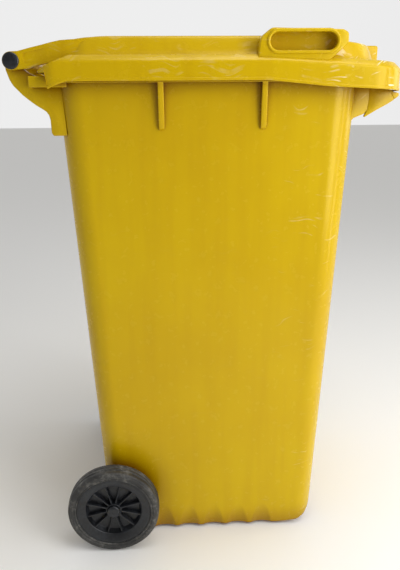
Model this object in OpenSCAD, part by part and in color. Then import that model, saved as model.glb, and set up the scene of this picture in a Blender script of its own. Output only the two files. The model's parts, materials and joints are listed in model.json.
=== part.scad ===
// Two-wheeled wheelie bin, 240 litre class
//
// Injection-moulded body and lid, two moulded hinge pins, one steel axle and
// two rubber-tyred wheels. The bin faces +X, stands on the ground at Z = 0 and
// is symmetric about the plane Y = 0. All sizes are in millimetres.

/* [Overall size] */
// Depth from the rear of the handle bar to the nose of the lifting comb
overall_depth = 728; // [640:1:880]
// Width across the skirt of the lid
overall_width = 580; // [480:1:700]
// Height of the body rim above the ground
rim_height = 1010; // [840:1:1220]

/* [Body shell] */
// Wall thickness of the body
wall = 4; // [3:0.5:6]
// Thickness of the floor
floor_thickness = 5; // [3:0.5:10]
// Width of the shell just under the rim
shell_top_width = 524; // [440:1:640]
// How much narrower each side is at the floor
side_taper = 40; // [10:1:60]
// How far the rear wall leans in from the rim to the floor
rear_taper = 49; // [20:1:90]
// How far the front wall leans in from the rim to the floor
front_taper = 41; // [20:1:90]
// Corner radius of the shell at the rim
shell_top_radius = 50; // [40:1:90]
// Corner radius of the shell at the floor
shell_base_radius = 42; // [30:1:80]
// Rear wall to hinge axis, measured at the rim
hinge_setback = 69.5; // [66:0.5:100]
// Front wall to lid front, measured at the rim
front_overhang = 77; // [70:1:110]
// Radius of the front bottom edge
foot_radius = 46; // [30:1:60]
// Height of the floor underside above the ground, behind the foot
base_clearance = 5.5; // [4:0.5:20]
// Slope of the base ahead of the foot ridge, degrees
foot_slope = 7; // [4:1:20]
// Length of the sloping base ahead of the foot ridge
foot_lead = 47; // [20:1:70]
// Length of the foot ridge that touches the ground
foot_length = 44; // [20:1:80]
// Ends of the foot ridge to the sides of the base
foot_inset = 34; // [20:1:80]

/* [Base flutes] */
// Number of shallow upright flutes on each side of the base
flute_count = 5; // [3:1:7]
// Spacing of the flutes
flute_pitch = 56.5; // [40:0.5:70]
// Position of the front flute behind the front wall
flute_front = 118.5; // [90:0.5:130]
// Depth of a flute at the ground
flute_depth = 7; // [3:0.5:10]
// Height at which a flute fades out
flute_height = 66; // [40:1:100]

/* [Rim collar] */
// Gap between the collar and the inside of the lid skirt
collar_gap = 6; // [3:0.5:10]
// Depth of the collar along the sides
collar_drop = 18; // [12:1:30]
// Corner radius of the collar
collar_radius = 58; // [40:1:75]
// How far the collar reaches behind the rear wall
collar_rear = 14.5; // [12:0.5:22]
// Step from the rim down to the rear corner boxes
corner_box_step = 6; // [4:1:12]
// Depth of the two rear corner boxes
corner_box_drop = 19; // [15:1:35]
// Rear corner boxes to hinge axis
corner_box_setback = 29; // [26:1:50]

/* [Side gussets] */
// Thickness of a side gusset
gusset_thickness = 11; // [6:1:16]
// Height of a side gusset below the collar
gusset_height = 84; // [50:1:120]
// Position of the rear gusset from the middle of the bin
gusset_rear_x = -86; // [-140:1:-40]
// Position of the front gusset from the middle of the bin
gusset_front_x = 102; // [60:1:150]

/* [Lifting comb] */
// Width of the lifting comb under the front rim
comb_width = 462; // [400:1:500]
// Number of comb ribs
comb_ribs = 8; // [5:1:11]
// Thickness of a comb rib
comb_rib_thickness = 5; // [3:0.5:8]
// Depth of the comb lip below the rim
comb_lip_drop = 43; // [35:1:60]
// Depth of the comb ribs at their rear tips
comb_rib_drop = 81; // [60:1:100]
// Nose of the lifting comb, ahead of the lid
comb_nose = 3; // [0:0.5:6]

/* [Handle and hinge] */
// Height of the hinge axis above the rim
hinge_rise = 20; // [10:1:30]
// Outer radius of the handle bar and hinge eyes
handle_radius = 15.5; // [13:0.5:18]
// Thickness of the handle brackets
bracket_thickness = 11; // [8:1:16]
// Depth of the handle brackets below the rim
bracket_depth = 110; // [80:1:140]
// Position of the inner brackets from the middle of the bin
inner_bracket_y = 86; // [60:1:120]
// Outer face of the lid arms, inside the edge of the lid
arm_inset = 31; // [26:1:40]
// Thickness of a lid arm
arm_thickness = 15; // [10:1:20]
// Radius of the hinge pin shank
pin_radius = 8; // [6:0.5:10]
// Radius of the hinge pin head
pin_head_radius = 14.5; // [13:0.5:15.5]
// Thickness of the hinge pin head
pin_head_thickness = 5; // [4:0.5:12]
// Length of the pin inside the handle bar
pin_grip_length = 34; // [20:1:60]
// Running clearance between lid arm and pin, on the radius
pin_clearance = 0.06; // [0.02:0.01:0.1]
// Side play between lid arm and bracket
arm_side_play = 1; // [0.4:0.1:3]

/* [Lid] */
// Wall thickness of the lid
lid_wall = 4; // [3:0.5:6]
// Gap between the rest rib of the lid and the rim
lid_seat_gap = 0.4; // [0.3:0.1:2]
// Height of the ledge above the rim
ledge_rise = 28; // [20:1:40]
// Height of the sloped shoulder at the edge of the ledge
shoulder_height = 12; // [6:1:18]
// Width of the sloped shoulder
shoulder_width = 13; // [6:1:18]
// Radius of the two front corners of the lid
lid_radius = 62; // [45:1:80]
// Radius of the two rear corners of the lid
lid_rear_radius = 36; // [28:1:45]
// Depth of the skirt below the rim along the sides
skirt_drop = 16; // [10:1:20]
// Extra depth of the skirt at the front
skirt_front_drop = 24; // [10:1:30]
// Extra depth of the skirt at the rear corners
skirt_rear_drop = 13; // [5:1:14]
// Downward slope of the front third of the lid, degrees
front_slope = 3.4; // [0:0.1:6]
// Downward slope of the rear edge of the lid, degrees
rear_slope = 24; // [15:1:27]
// Where the rear slope begins, from the hinge axis
rear_slope_start = 103; // [95:1:130]
// Rear edge of the lid, from the hinge axis
lid_rear_setback = 44; // [40:1:56]
// Rear end of the skirt, from the hinge axis
skirt_rear_setback = 65; // [58:1:80]
// Height of the crown above the ledge
crown_height = 33.5; // [15:0.5:45]
// Lean of the crown wall
crown_taper = 9; // [4:1:14]
// Corner radius of the crown
crown_radius = 80; // [50:1:110]
// Crown wall to edge of the lid along the sides
crown_side_inset = 28; // [22:1:40]
// Crown wall to edge of the lid at the front
crown_front_inset = 41; // [38:1:70]
// Crown wall to hinge axis
crown_rear_inset = 84; // [78:1:110]
// Downward slope of the rear part of the crown, degrees
crown_rear_slope = 4.2; // [0:0.1:8]
// Where the rear slope of the crown begins, from the hinge axis
crown_slope_start = 176; // [130:1:260]
// Downward slope of the front part of the crown, degrees
crown_front_slope = 4.2; // [0:0.1:8]

/* [Lid grips] */
// Length of a side grip
grip_length = 156; // [120:1:180]
// Front end of a side grip, behind the front of the lid
grip_front = 115; // [90:1:150]
// Height of a side grip above the ledge
grip_height = 43; // [35:1:55]
// Face of a side grip, inside the edge of the lid
grip_inset = 6; // [5:1:12]
// Length of the finger opening
opening_length = 122; // [90:1:140]
// Height of the finger opening
opening_height = 33; // [24:1:40]
// Bead round the finger opening
opening_bead = 3; // [2:0.5:5]
// Depth of the finger pocket
pocket_depth = 23; // [18:1:26]
// Width of the front grip
front_grip_width = 236; // [180:1:280]
// Width of the finger opening in the front grip
front_opening_width = 190; // [120:1:230]

/* [Wheels and axle] */
// Outside radius of a wheel
wheel_radius = 100; // [85:1:125]
// Width of a tyre
tyre_width = 41; // [36:1:60]
// Radius of the seat between tyre and rim
tyre_seat_radius = 78; // [60:1:85]
// Depth of the two side flanges over the tyre
rim_flange = 3; // [2:0.5:5]
// Number of spokes
spoke_count = 12; // [6:1:16]
// Thickness of a spoke
spoke_thickness = 3.2; // [2:0.2:6]
// Outer radius of the hub boss
boss_radius = 17; // [14:0.5:24]
// Radius of the steel axle
axle_radius = 10; // [8:0.5:12.5]
// Running clearance between wheel and axle, on the radius
axle_clearance = 0.08; // [0.02:0.01:0.1]
// Axle to rear of the bin
axle_setback = 151; // [130:1:180]
// Radius of the clearance arch over the axle
arch_radius = 58; // [40:1:75]
// Gap between the tyre and the body side
tyre_gap = 18; // [10:0.5:24]

/* [Hidden] */
$fn = 64;
// Shared frame
lid_front_x = overall_depth / 2 - comb_nose;
hinge_x = handle_radius - overall_depth / 2;
hinge_z = rim_height + hinge_rise;
half_width = overall_width / 2;
cut = 1;

// Shell
shell_rear_x = hinge_x + hinge_setback;
shell_front_x = lid_front_x - front_overhang;
shell_base_width = shell_top_width - 2 * side_taper;
flute_radius = (pow(flute_pitch / 2 - 2, 2) + pow(flute_depth, 2)) / (2 * flute_depth);
foot_z = base_clearance + foot_lead * sin(foot_slope) + foot_radius * cos(foot_slope);
foot_x = shell_front_x - front_taper * (rim_height - foot_z) / rim_height - foot_radius;
ridge_x = foot_x + foot_radius * sin(foot_slope) - foot_lead * cos(foot_slope);
flute_lean = atan((flute_depth + side_taper * flute_height / rim_height) / flute_height);

// Collar
collar_half = half_width - lid_wall - collar_gap;
collar_rear_x = shell_rear_x - collar_rear;
collar_front_x = lid_front_x - lid_wall - collar_gap;
collar_mid_x = (collar_front_x + collar_rear_x) / 2;
collar_length = collar_front_x - collar_rear_x;
corner_box_rear_x = hinge_x + corner_box_setback;
corner_box_y = collar_half - 13;

// Hinge stations across the bin
arm_outer_y = half_width - arm_inset;
arm_inner_y = arm_outer_y - arm_thickness;
bracket_outer_y = arm_inner_y - arm_side_play;
bracket_inner_y = bracket_outer_y - bracket_thickness;

// Lid levels
lid_mid_x = (lid_front_x + hinge_x + lid_rear_setback) / 2;
lid_length = lid_front_x - hinge_x - lid_rear_setback;
ledge_z = rim_height + ledge_rise;
skirt_top_z = ledge_z - shoulder_height;
skirt_low_z = rim_height - skirt_drop;
skirt_floor_z = skirt_low_z - skirt_front_drop - 20;
front_slope_x = lid_front_x - 255;
crown_rear_x = hinge_x + crown_rear_inset;
crown_front_x = lid_front_x - crown_front_inset;
crown_mid_x = (crown_rear_x + crown_front_x) / 2;
crown_length = crown_front_x - crown_rear_x;
crown_half = half_width - crown_side_inset;
crown_top_z = ledge_z + crown_height;
rib_inset = 22;
rib_thickness = 3;
grip_front_x = lid_front_x - grip_front;
grip_rear_x = grip_front_x - grip_length;

// Wheels
axle_x = axle_setback - overall_depth / 2;
axle_z = wheel_radius;
body_half_at_axle = shell_base_width / 2 + side_taper * (axle_z + wheel_radius) / rim_height;
tyre_inner_y = body_half_at_axle + tyre_gap;
tyre_outer_y = tyre_inner_y + tyre_width;
housing_face_y = tyre_inner_y - 3;
washer_thickness = 2;
washer_radius = axle_radius + 8;
spacer_length = 4;
boss_inner_y = housing_face_y + spacer_length + washer_thickness + 0.4;
boss_outer_y = tyre_outer_y - 14;
nut_thickness = 4;
nut_radius = axle_radius + 3.5;
axle_end_y = boss_outer_y + washer_thickness + nut_thickness + 2;
cap_radius = boss_radius - 3;
cap_skirt = 6;
rim_half = tyre_width / 2 - 3;
rim_inner_radius = tyre_seat_radius - 13;
dish_radius = tyre_seat_radius - 19;
web_thickness = 4;

// ---- shared shapes ----

// Rounded rectangle in plan, centred on the origin; the two rear corners can differ
module rounded_plan(length, width, radius, rear_radius) {
  back = is_undef(rear_radius) ? radius : rear_radius;
  translate([-length / 2 + back, -width / 2])
    square([length - radius - back, width]);
  translate([0, -width / 2 + radius])
    square([length / 2, width - 2 * radius]);
  translate([-length / 2, -width / 2 + back])
    square([length / 2, width - 2 * back]);
  for (sy = [-1, 1]) {
    translate([length / 2 - radius, sy * (width / 2 - radius)])
      circle(r = radius);
    translate([back - length / 2, sy * (width / 2 - back)])
      circle(r = back);
  }
}

// Rounded block whose walls lean in by the same amount all round
module leaning_block(length, width, radius, height, lean, rear_radius) {
  back = is_undef(rear_radius) ? radius : rear_radius;
  translate([-length / 2 + back, 0, 0])
    rotate([90, 0, 90])
      linear_extrude(length - radius - back)
        polygon([
          [-width / 2, 0], [width / 2, 0],
          [width / 2 - lean, height], [lean - width / 2, height]
        ]);
  rotate([90, 0, 0])
    linear_extrude(width - 2 * radius, center = true)
      polygon([[0, 0], [length / 2, 0], [length / 2 - lean, height], [0, height]]);
  rotate([90, 0, 0])
    linear_extrude(width - 2 * back, center = true)
      polygon([[-length / 2, 0], [0, 0], [0, height], [lean - length / 2, height]]);
  for (sy = [-1, 1]) {
    translate([length / 2 - radius, sy * (width / 2 - radius), 0])
      cylinder(h = height, r1 = radius, r2 = radius - lean);
    translate([back - length / 2, sy * (width / 2 - back), 0])
      cylinder(h = height, r1 = back, r2 = back - lean);
  }
}

// Plate standing in an XZ plane, from y0 towards +Y
module upright_plate(y0, thickness, points) {
  translate([0, y0 + thickness, 0])
    rotate([90, 0, 0])
      linear_extrude(thickness)
        polygon(points);
}

// Round bar along Y
module cross_bar(radius, y0, y1) {
  translate([0, y1, 0])
    rotate([90, 0, 0])
      cylinder(h = y1 - y0, r = radius);
}

// Both sides of the bin
module both_sides() {
  children();
  mirror([0, 1, 0])
    children();
}

// ---- body ----

// X of the rear and front walls at a given height
function rear_wall_x(z) = shell_rear_x + rear_taper * (rim_height - z) / rim_height;
function front_wall_x(z) = shell_front_x - front_taper * (rim_height - z) / rim_height;
function side_wall_y(z) = shell_top_width / 2 - side_taper * (rim_height - z) / rim_height;

// Tapered rounded solid from the ground to the rim, inset all round
module shell_solid(inset, z0, z1) {
  hull() {
    translate([(rear_wall_x(z0) + front_wall_x(z0)) / 2, 0, z0])
      linear_extrude(0.01)
        rounded_plan(
          front_wall_x(z0) - rear_wall_x(z0) - 2 * inset,
          2 * side_wall_y(z0) - 2 * inset,
          shell_base_radius - inset
        );
    translate([(rear_wall_x(z1) + front_wall_x(z1)) / 2, 0, z1 - 0.01])
      linear_extrude(0.01)
        rounded_plan(
          front_wall_x(z1) - rear_wall_x(z1) - 2 * inset,
          2 * side_wall_y(z1) - 2 * inset,
          shell_top_radius - inset
        );
  }
}

// Space kept clear round the axle, grown by an allowance
module axle_arch(grow) {
  depth = overall_width;
  translate([axle_x, 0, axle_z]) {
    cross_bar(arch_radius + grow, -depth / 2, depth / 2);
    translate([-overall_depth, -depth / 2, -rim_height])
      cube([overall_depth, depth, rim_height + arch_radius + grow]);
    translate([-overall_depth, -depth / 2, -rim_height])
      cube([overall_depth + arch_radius + grow, depth, rim_height]);
  }
}

// Waste outside the sloping and rounded front bottom edge
module foot_waste(inset) {
  r = foot_radius - inset;
  translate([0, half_width, 0])
    rotate([90, 0, 0])
      linear_extrude(overall_width)
        difference() {
          translate([ridge_x, base_clearance - 2 * foot_lead])
            square([2 * overall_width, foot_z - base_clearance + 2 * foot_lead]);
          translate([foot_x, foot_z])
            circle(r = r);
          polygon([
            [ridge_x - cut, foot_z + cut],
            [ridge_x - cut, base_clearance + inset / cos(foot_slope)],
            [ridge_x, base_clearance + inset / cos(foot_slope)],
            [foot_x + r * sin(foot_slope), foot_z - r * cos(foot_slope)],
            [foot_x, foot_z],
            [foot_x, foot_z + cut]
          ]);
          translate([ridge_x - cut, base_clearance - 3 * foot_lead])
            square([cut, 3 * foot_lead]);
        }
}

// Ridge across the front of the base that meets the ground
module foot_ridge() {
  top = base_clearance + foot_lead * sin(foot_slope);
  half = side_wall_y(0) - foot_inset;
  upright_plate(-half, 2 * half, [
    [ridge_x - foot_length, base_clearance + 1],
    [ridge_x - foot_length + 5, 0],
    [ridge_x, 0],
    [ridge_x + 12, base_clearance - 2],
    [ridge_x + foot_lead - 6, top - 2],
    [ridge_x + foot_lead - 10, top + 2],
    [ridge_x, base_clearance + 2]
  ]);
}

// Upright flutes in both sides of the base
module base_flutes(grow) {
  both_sides()
    for (i = [0 : flute_count - 1])
      translate([
        front_wall_x(0) - flute_front - i * flute_pitch,
        -side_wall_y(0) - flute_radius + flute_depth,
        0
      ])
        rotate([flute_lean, 0, 0])
          translate([0, 0, -20])
            cylinder(h = 2 * flute_height, r = flute_radius + grow);
}

// Hollow tapered shell with its arch, foot and flutes
module shell() {
  difference() {
    shell_solid(0, 0, rim_height);
    translate([-overall_depth, -half_width, -cut])
      cube([2 * overall_depth, overall_width, base_clearance + cut]);
    axle_arch(0);
    foot_waste(0);
    base_flutes(0);
    difference() {
      shell_solid(wall, base_clearance + floor_thickness, rim_height + cut);
      axle_arch(wall);
      foot_waste(wall);
      base_flutes(wall);
    }
  }
}

// Turned-down collar round the rim
module collar() {
  z0 = rim_height - collar_drop;
  mouth_x = (shell_rear_x + shell_front_x) / 2;
  difference() {
    translate([collar_mid_x, 0, z0])
      linear_extrude(collar_drop)
        rounded_plan(collar_length, 2 * collar_half, collar_radius);
    translate([collar_mid_x, 0, z0 - wall])
      linear_extrude(collar_drop)
        rounded_plan(collar_length - 2 * wall, 2 * (collar_half - wall), collar_radius - wall);
    translate([mouth_x, 0, z0 - cut])
      linear_extrude(collar_drop + 2 * cut)
        rounded_plan(
          shell_front_x - shell_rear_x - 2 * wall,
          shell_top_width - 2 * wall,
          shell_top_radius - wall
        );
  }
}

// Open-bottomed box at each rear corner of the collar
module corner_box() {
  top = rim_height - corner_box_step;
  y0 = -corner_box_y;
  run = shell_rear_x + shell_top_radius - corner_box_rear_x;
  span = corner_box_y - bracket_inner_y;
  difference() {
    translate([corner_box_rear_x, y0, top - corner_box_drop])
      cube([run, span, corner_box_drop]);
    translate([corner_box_rear_x + wall, y0 + wall, top - corner_box_drop - wall])
      cube([run, span, corner_box_drop]);
    shell_solid(wall / 2, 0, rim_height);
  }
}

// Tapered gusset under the side collar
module side_gusset(x) {
  z1 = rim_height - wall / 2;
  z0 = rim_height - collar_drop - gusset_height;
  translate([x - gusset_thickness / 2, 0, 0])
    rotate([90, 0, 90])
      linear_extrude(gusset_thickness)
        polygon([
          [-side_wall_y(z0) + wall / 2, z0],
          [-side_wall_y(z0) - 7, z0 + 9],
          [-collar_half + 5, z1 - collar_drop],
          [-collar_half + wall / 2, z1 - collar_drop + 3],
          [-collar_half + wall / 2, z1],
          [-side_wall_y(z1) + wall / 2, z1]
        ]);
}

// Lip, ribs and end cheeks of the lifting comb
module lifting_comb() {
  lip_x = lid_front_x + comb_nose;
  top = rim_height - wall / 2;
  low = rim_height - comb_lip_drop;
  tip = rim_height - comb_rib_drop;
  pitch = (comb_width - comb_rib_thickness) / (comb_ribs - 1);
  // turned-down front lip
  upright_plate(-comb_width / 2, comb_width, [
    [collar_front_x - wall, top],
    [collar_front_x, top],
    [collar_front_x, low + 7.5],
    [lip_x, low + 5],
    [lip_x, low],
    [lip_x - 7, low - 6],
    [lip_x - 10, low - 4],
    [collar_front_x - wall, low + 6]
  ]);
  // hanging ribs
  for (i = [0 : comb_ribs - 1])
    upright_plate(i * pitch - comb_width / 2, comb_rib_thickness, [
      [collar_front_x - wall / 2, top],
      [collar_front_x - wall / 2, low + 6],
      [lip_x - 8, low - 7],
      [lip_x - 22, low - 15.5],
      [lip_x - 40, low - 25],
      [lip_x - 65, tip],
      [lip_x - 60, tip + 12],
      [lip_x - 58, tip + 30],
      [lip_x - 58, top]
    ]);
  // gussets down to the front wall, in line with some of the ribs
  for (i = [0, 2, comb_ribs - 3, comb_ribs - 1])
    upright_plate(i * pitch - comb_width / 2, comb_rib_thickness, [
      [front_wall_x(rim_height - 104) - 2 * wall, rim_height - 104],
      [front_wall_x(rim_height - 104) - 6, rim_height - 104],
      [front_wall_x(rim_height - 104) - 5.5, rim_height - 95],
      [front_wall_x(rim_height - 104) - 3.5, rim_height - 87],
      [front_wall_x(rim_height - 104), rim_height - 83],
      [lip_x - 64, rim_height - 75],
      [lip_x - 56, rim_height - 64],
      [lip_x - 56, top],
      [shell_front_x - 2 * wall, top]
    ]);
}

// One bracket carrying the handle bar
module handle_bracket(y0) {
  z_low = rim_height - bracket_depth;
  upright_plate(y0, bracket_thickness, [
    [hinge_x - handle_radius + 0.2, hinge_z - 5],
    [hinge_x - handle_radius + 1, hinge_z - 15],
    [hinge_x - 9.5, hinge_z - 31],
    [hinge_x - 4, hinge_z - 41],
    [hinge_x + 4, hinge_z - 49.5],
    [hinge_x + 12, hinge_z - 58],
    [hinge_x + 23, hinge_z - 67],
    [hinge_x + 35, hinge_z - 76],
    [hinge_x + 44, hinge_z - 81.5],
    [hinge_x + 52, hinge_z - 87],
    [hinge_x + 56, hinge_z - 93],
    [hinge_x + 58, hinge_z - 101],
    [hinge_x + 58.5, z_low + 5],
    [hinge_x + 62, z_low],
    [rear_wall_x(z_low) + wall / 2, z_low],
    [shell_rear_x + wall / 2, rim_height - corner_box_step],
    [hinge_x + 40, rim_height - corner_box_step],
    [hinge_x + 26, hinge_z - 20],
    [hinge_x + 12, hinge_z - 8]
  ]);
}

// Handle bar with blind bores for the hinge pins
module handle() {
  difference() {
    union() {
      translate([hinge_x, 0, hinge_z])
        cross_bar(handle_radius, -bracket_outer_y, bracket_outer_y);
      both_sides() {
        handle_bracket(-bracket_outer_y);
        handle_bracket(-inner_bracket_y - bracket_thickness / 2);
      }
    }
    both_sides()
      translate([hinge_x, 0, hinge_z])
        cross_bar(pin_radius, -bracket_outer_y - cut, -bracket_outer_y + pin_grip_length + 2);
  }
}

// Ribs under the arch that carry the axle
module axle_ribs() {
  outer = side_wall_y(axle_z);
  reach = axle_x + arch_radius + 8;
  difference() {
    union() {
      intersection() {
        shell_solid(0, 0, rim_height);
        axle_arch(wall / 2);
        for (y = [-outer - 6, -inner_bracket_y - 5, inner_bracket_y - 5, outer - 14])
          translate([axle_x - arch_radius, y, base_clearance + 10])
            cube([reach - axle_x + arch_radius, y < -inner_bracket_y - 5 || y > inner_bracket_y ? 20 : 10,
              axle_z + arch_radius - base_clearance]);
      }
      both_sides()
        translate([axle_x, 0, axle_z])
          cross_bar(axle_radius + 9, -housing_face_y, -outer + 14);
      both_sides()
        translate([axle_x, 0, axle_z])
          cross_bar(axle_radius + 8, -inner_bracket_y - 5, -inner_bracket_y + 5);
    }
    translate([axle_x, 0, axle_z])
      cross_bar(axle_radius, -half_width, half_width);
  }
}

module bin_body() {
  color("gold") {
    shell();
    foot_ridge();
    collar();
    both_sides() {
      corner_box();
      side_gusset(gusset_rear_x);
      side_gusset(gusset_front_x);
    }
    lifting_comb();
    handle();
    axle_ribs();
  }
}

// ---- lid ----

// Solid bounded by the outer or inner face of skirt, shoulder and ledge
module ledge_solid(inset) {
  length = lid_length - 2 * inset;
  width = overall_width - 2 * inset;
  radius = lid_radius - inset;
  rear_radius = lid_rear_radius - inset;
  drop = inset * 0.4;
  translate([lid_mid_x, 0, skirt_floor_z - inset])
    linear_extrude(skirt_top_z - drop - skirt_floor_z + inset)
      rounded_plan(length, width, radius, rear_radius);
  translate([lid_mid_x, 0, skirt_top_z - drop])
    leaning_block(
      length, width, radius,
      shoulder_height - inset + drop,
      shoulder_width - inset * 0.6,
      rear_radius
    );
}

// Everything above the rear slope, lowered by an allowance
module above_rear_slope(lower) {
  translate([hinge_x + rear_slope_start, 0, ledge_z - lower / cos(rear_slope)])
    rotate([0, -rear_slope, 0])
      translate([-overall_depth, -overall_width, 0])
        cube([overall_depth, 2 * overall_width, overall_depth]);
}

// Ledge solid with its level middle, sloped front and sloped rear
module lid_solid(inset) {
  difference() {
    union() {
      intersection() {
        ledge_solid(inset);
        translate([-overall_depth, -overall_width, 0])
          cube([overall_depth + front_slope_x, 2 * overall_width, 2 * rim_height]);
      }
      translate([front_slope_x, 0, ledge_z])
        rotate([0, front_slope, 0])
          translate([-front_slope_x, 0, -ledge_z])
            intersection() {
              ledge_solid(inset);
              translate([front_slope_x, -overall_width, 0])
                cube([overall_depth, 2 * overall_width, 2 * rim_height]);
            }
    }
    above_rear_slope(inset);
  }
}

// Crown of the lid, solid, inset all round
module crown_solid(inset) {
  difference() {
    translate([crown_mid_x, 0, ledge_z - 18 - inset])
      leaning_block(
        crown_length - 2 * inset + 2 * 6,
        2 * crown_half - 2 * inset + 2 * 6,
        crown_radius - inset + 6,
        crown_height + 18,
        crown_taper + 6
      );
    translate([hinge_x + crown_slope_start, 0, crown_top_z - inset])
      rotate([0, -crown_rear_slope, 0])
        translate([-overall_depth, -overall_width, 0])
          cube([overall_depth, 2 * overall_width, overall_depth]);
    translate([front_slope_x, 0, crown_top_z - inset])
      rotate([0, crown_front_slope, 0])
        translate([0, -overall_width, 0])
          cube([overall_depth, 2 * overall_width, overall_depth]);
  }
}

// Waste below the shaped lower edge of the skirt
module skirt_waste() {
  depth = 2 * overall_width;
  rear_x = hinge_x + skirt_rear_setback;
  upright_plate(-depth / 2, depth, [
    [-overall_depth, 0],
    [-overall_depth, skirt_top_z - 17],
    [rear_x, skirt_top_z - 17],
    [rear_x, skirt_low_z - skirt_rear_drop],
    [rear_x + 18, skirt_low_z - 5],
    [rear_x + 36, skirt_low_z],
    [front_slope_x, skirt_low_z],
    [front_slope_x + 108, skirt_low_z - skirt_front_drop * 0.45],
    [overall_depth, skirt_low_z - skirt_front_drop * 1.6],
    [overall_depth, 0]
  ]);
}

// Rib under the ledge that rests on the rim
module rest_rib() {
  z0 = rim_height + lid_seat_gap;
  difference() {
    intersection() {
      lid_solid(lid_wall / 2);
      translate([lid_mid_x, 0, z0])
        linear_extrude(ledge_rise)
          difference() {
            rounded_plan(
              lid_length - 2 * rib_inset,
              overall_width - 2 * rib_inset,
              lid_radius - rib_inset
            );
            rounded_plan(
              lid_length - 2 * rib_inset - 2 * rib_thickness,
              overall_width - 2 * rib_inset - 2 * rib_thickness,
              lid_radius - rib_inset - rib_thickness
            );
          }
    }
    translate([crown_mid_x, 0, 0])
      linear_extrude(2 * rim_height)
        rounded_plan(crown_length - 2 * lid_wall, 2 * crown_half - 2 * lid_wall, crown_radius - lid_wall);
  }
}

// Arm from the crown to the hinge pin
module lid_arm() {
  y0 = -arm_outer_y;
  difference() {
    union() {
      translate([hinge_x, 0, hinge_z])
        cross_bar(handle_radius, y0, y0 + arm_thickness);
      upright_plate(y0, arm_thickness, [
        [hinge_x - 2, hinge_z + 15.3],
        [hinge_x + 13, hinge_z + 16],
        [hinge_x + 35, hinge_z + 21.5],
        [hinge_x + 53, hinge_z + 25.5],
        [hinge_x + 71, hinge_z + 30],
        [hinge_x + 88, hinge_z + 33.5],
        [hinge_x + 106, hinge_z + 35.5],
        [hinge_x + 141, hinge_z + 37.5],
        [hinge_x + 141, ledge_z - 2],
        [hinge_x + 91, hinge_z - 3],
        [hinge_x + 68, hinge_z - 4],
        [hinge_x + 57, hinge_z - 5],
        [hinge_x + 46, hinge_z - 7.5],
        [hinge_x + 37, hinge_z - 10],
        [hinge_x + 30, hinge_z - 12.8],
        [hinge_x + 20, hinge_z - 13.4],
        [hinge_x + 4, hinge_z - 14.9]
      ]);
    }
    translate([hinge_x, 0, hinge_z])
      cross_bar(pin_radius + pin_clearance, y0 - cut, y0 + arm_thickness + cut);
  }
}

// Stadium outline of the finger opening, in an XZ plane
module opening_plan(grow) {
  radius = opening_height / 2 + grow;
  run = (opening_length - opening_height) / 2;
  square([2 * run, 2 * radius], center = true);
  translate([-run, 0])
    circle(r = radius);
  translate([run, 0])
    circle(r = radius);
}

// Raised hood with a finger opening facing the side
module side_grip() {
  y0 = grip_inset - half_width;
  depth = crown_side_inset - grip_inset + crown_taper + 3;
  top = ledge_z + grip_height;
  mid_x = grip_front_x - 18 - opening_length / 2;
  mid_z = ledge_z + 4 + opening_height / 2;
  difference() {
    union() {
      upright_plate(y0, depth, [
        [grip_rear_x - 4, ledge_z - 6],
        [grip_rear_x, ledge_z + 27],
        [grip_rear_x + 20, top],
        [grip_front_x - 10, top - 3],
        [grip_front_x, top - 7],
        [grip_front_x + 2, ledge_z - 12]
      ]);
      translate([mid_x, y0 + 2, mid_z])
        rotate([90, 0, 0])
          linear_extrude(2 + opening_bead)
            opening_plan(opening_bead);
    }
    translate([mid_x, y0 + pocket_depth, mid_z])
      rotate([90, 0, 0])
        linear_extrude(pocket_depth + opening_bead + cut)
          opening_plan(0);
  }
}

// Raised hood across the front with a finger opening facing forwards
module front_grip() {
  face_x = lid_front_x - grip_inset;
  depth = crown_front_inset - grip_inset + crown_taper + 3;
  top = ledge_z + grip_height - (face_x - front_slope_x) * tan(front_slope);
  run = front_opening_width - opening_height;
  mid_z = top - grip_height + 4 + opening_height / 2;
  difference() {
    upright_plate(-front_grip_width / 2, front_grip_width, [
      [face_x - depth, ledge_z - 12],
      [face_x - depth, top],
      [face_x + 1, top],
      [face_x + 1.5, top - 6],
      [face_x, top - 10],
      [face_x, top - grip_height - 10]
    ]);
    for (sy = [-1, 1])
      translate([face_x - pocket_depth, sy * run / 2, mid_z])
        rotate([0, 90, 0])
          cylinder(h = pocket_depth + cut, r = opening_height / 2);
    translate([face_x - pocket_depth, -run / 2, mid_z - opening_height / 2])
      cube([pocket_depth + cut, run, opening_height]);
  }
}

module lid() {
  color("gold") {
    difference() {
      union() {
        difference() {
          lid_solid(0);
          lid_solid(lid_wall);
          skirt_waste();
        }
        rest_rib();
        crown_solid(0);
        both_sides()
          side_grip();
        front_grip();
      }
      crown_solid(lid_wall);
      translate([crown_mid_x, 0, 0])
        linear_extrude(ledge_z - 17)
          rounded_plan(crown_length + 30, 2 * crown_half + 20, crown_radius);
    }
    both_sides()
      lid_arm();
  }
}

// ---- hinge pins ----

// Pin on the -Y side, head outwards
module hinge_pin() {
  shank = arm_thickness + arm_side_play + pin_grip_length;
  color("darkslategray")
    translate([hinge_x, -arm_outer_y, hinge_z])
      rotate([90, 0, 0])
        difference() {
          union() {
            // domed head
            rotate_extrude()
              intersection() {
                translate([0, pin_head_thickness - 2 * pin_head_radius])
                  circle(r = 2 * pin_head_radius, $fn = 128);
                square([pin_head_radius, pin_head_thickness]);
              }
            // shank with a lead-in tip
            translate([0, 0, -shank + 3])
              cylinder(h = shank - 3, r = pin_radius);
            translate([0, 0, -shank])
              cylinder(h = 3, r1 = pin_radius - 2, r2 = pin_radius);
          }
          // split end
          translate([-1.5, -pin_head_radius, -shank - cut])
            cube([3, 2 * pin_head_radius, pin_grip_length * 0.7]);
        }
}

// ---- axle and wheels, drawn on the -Y side ----

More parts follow.
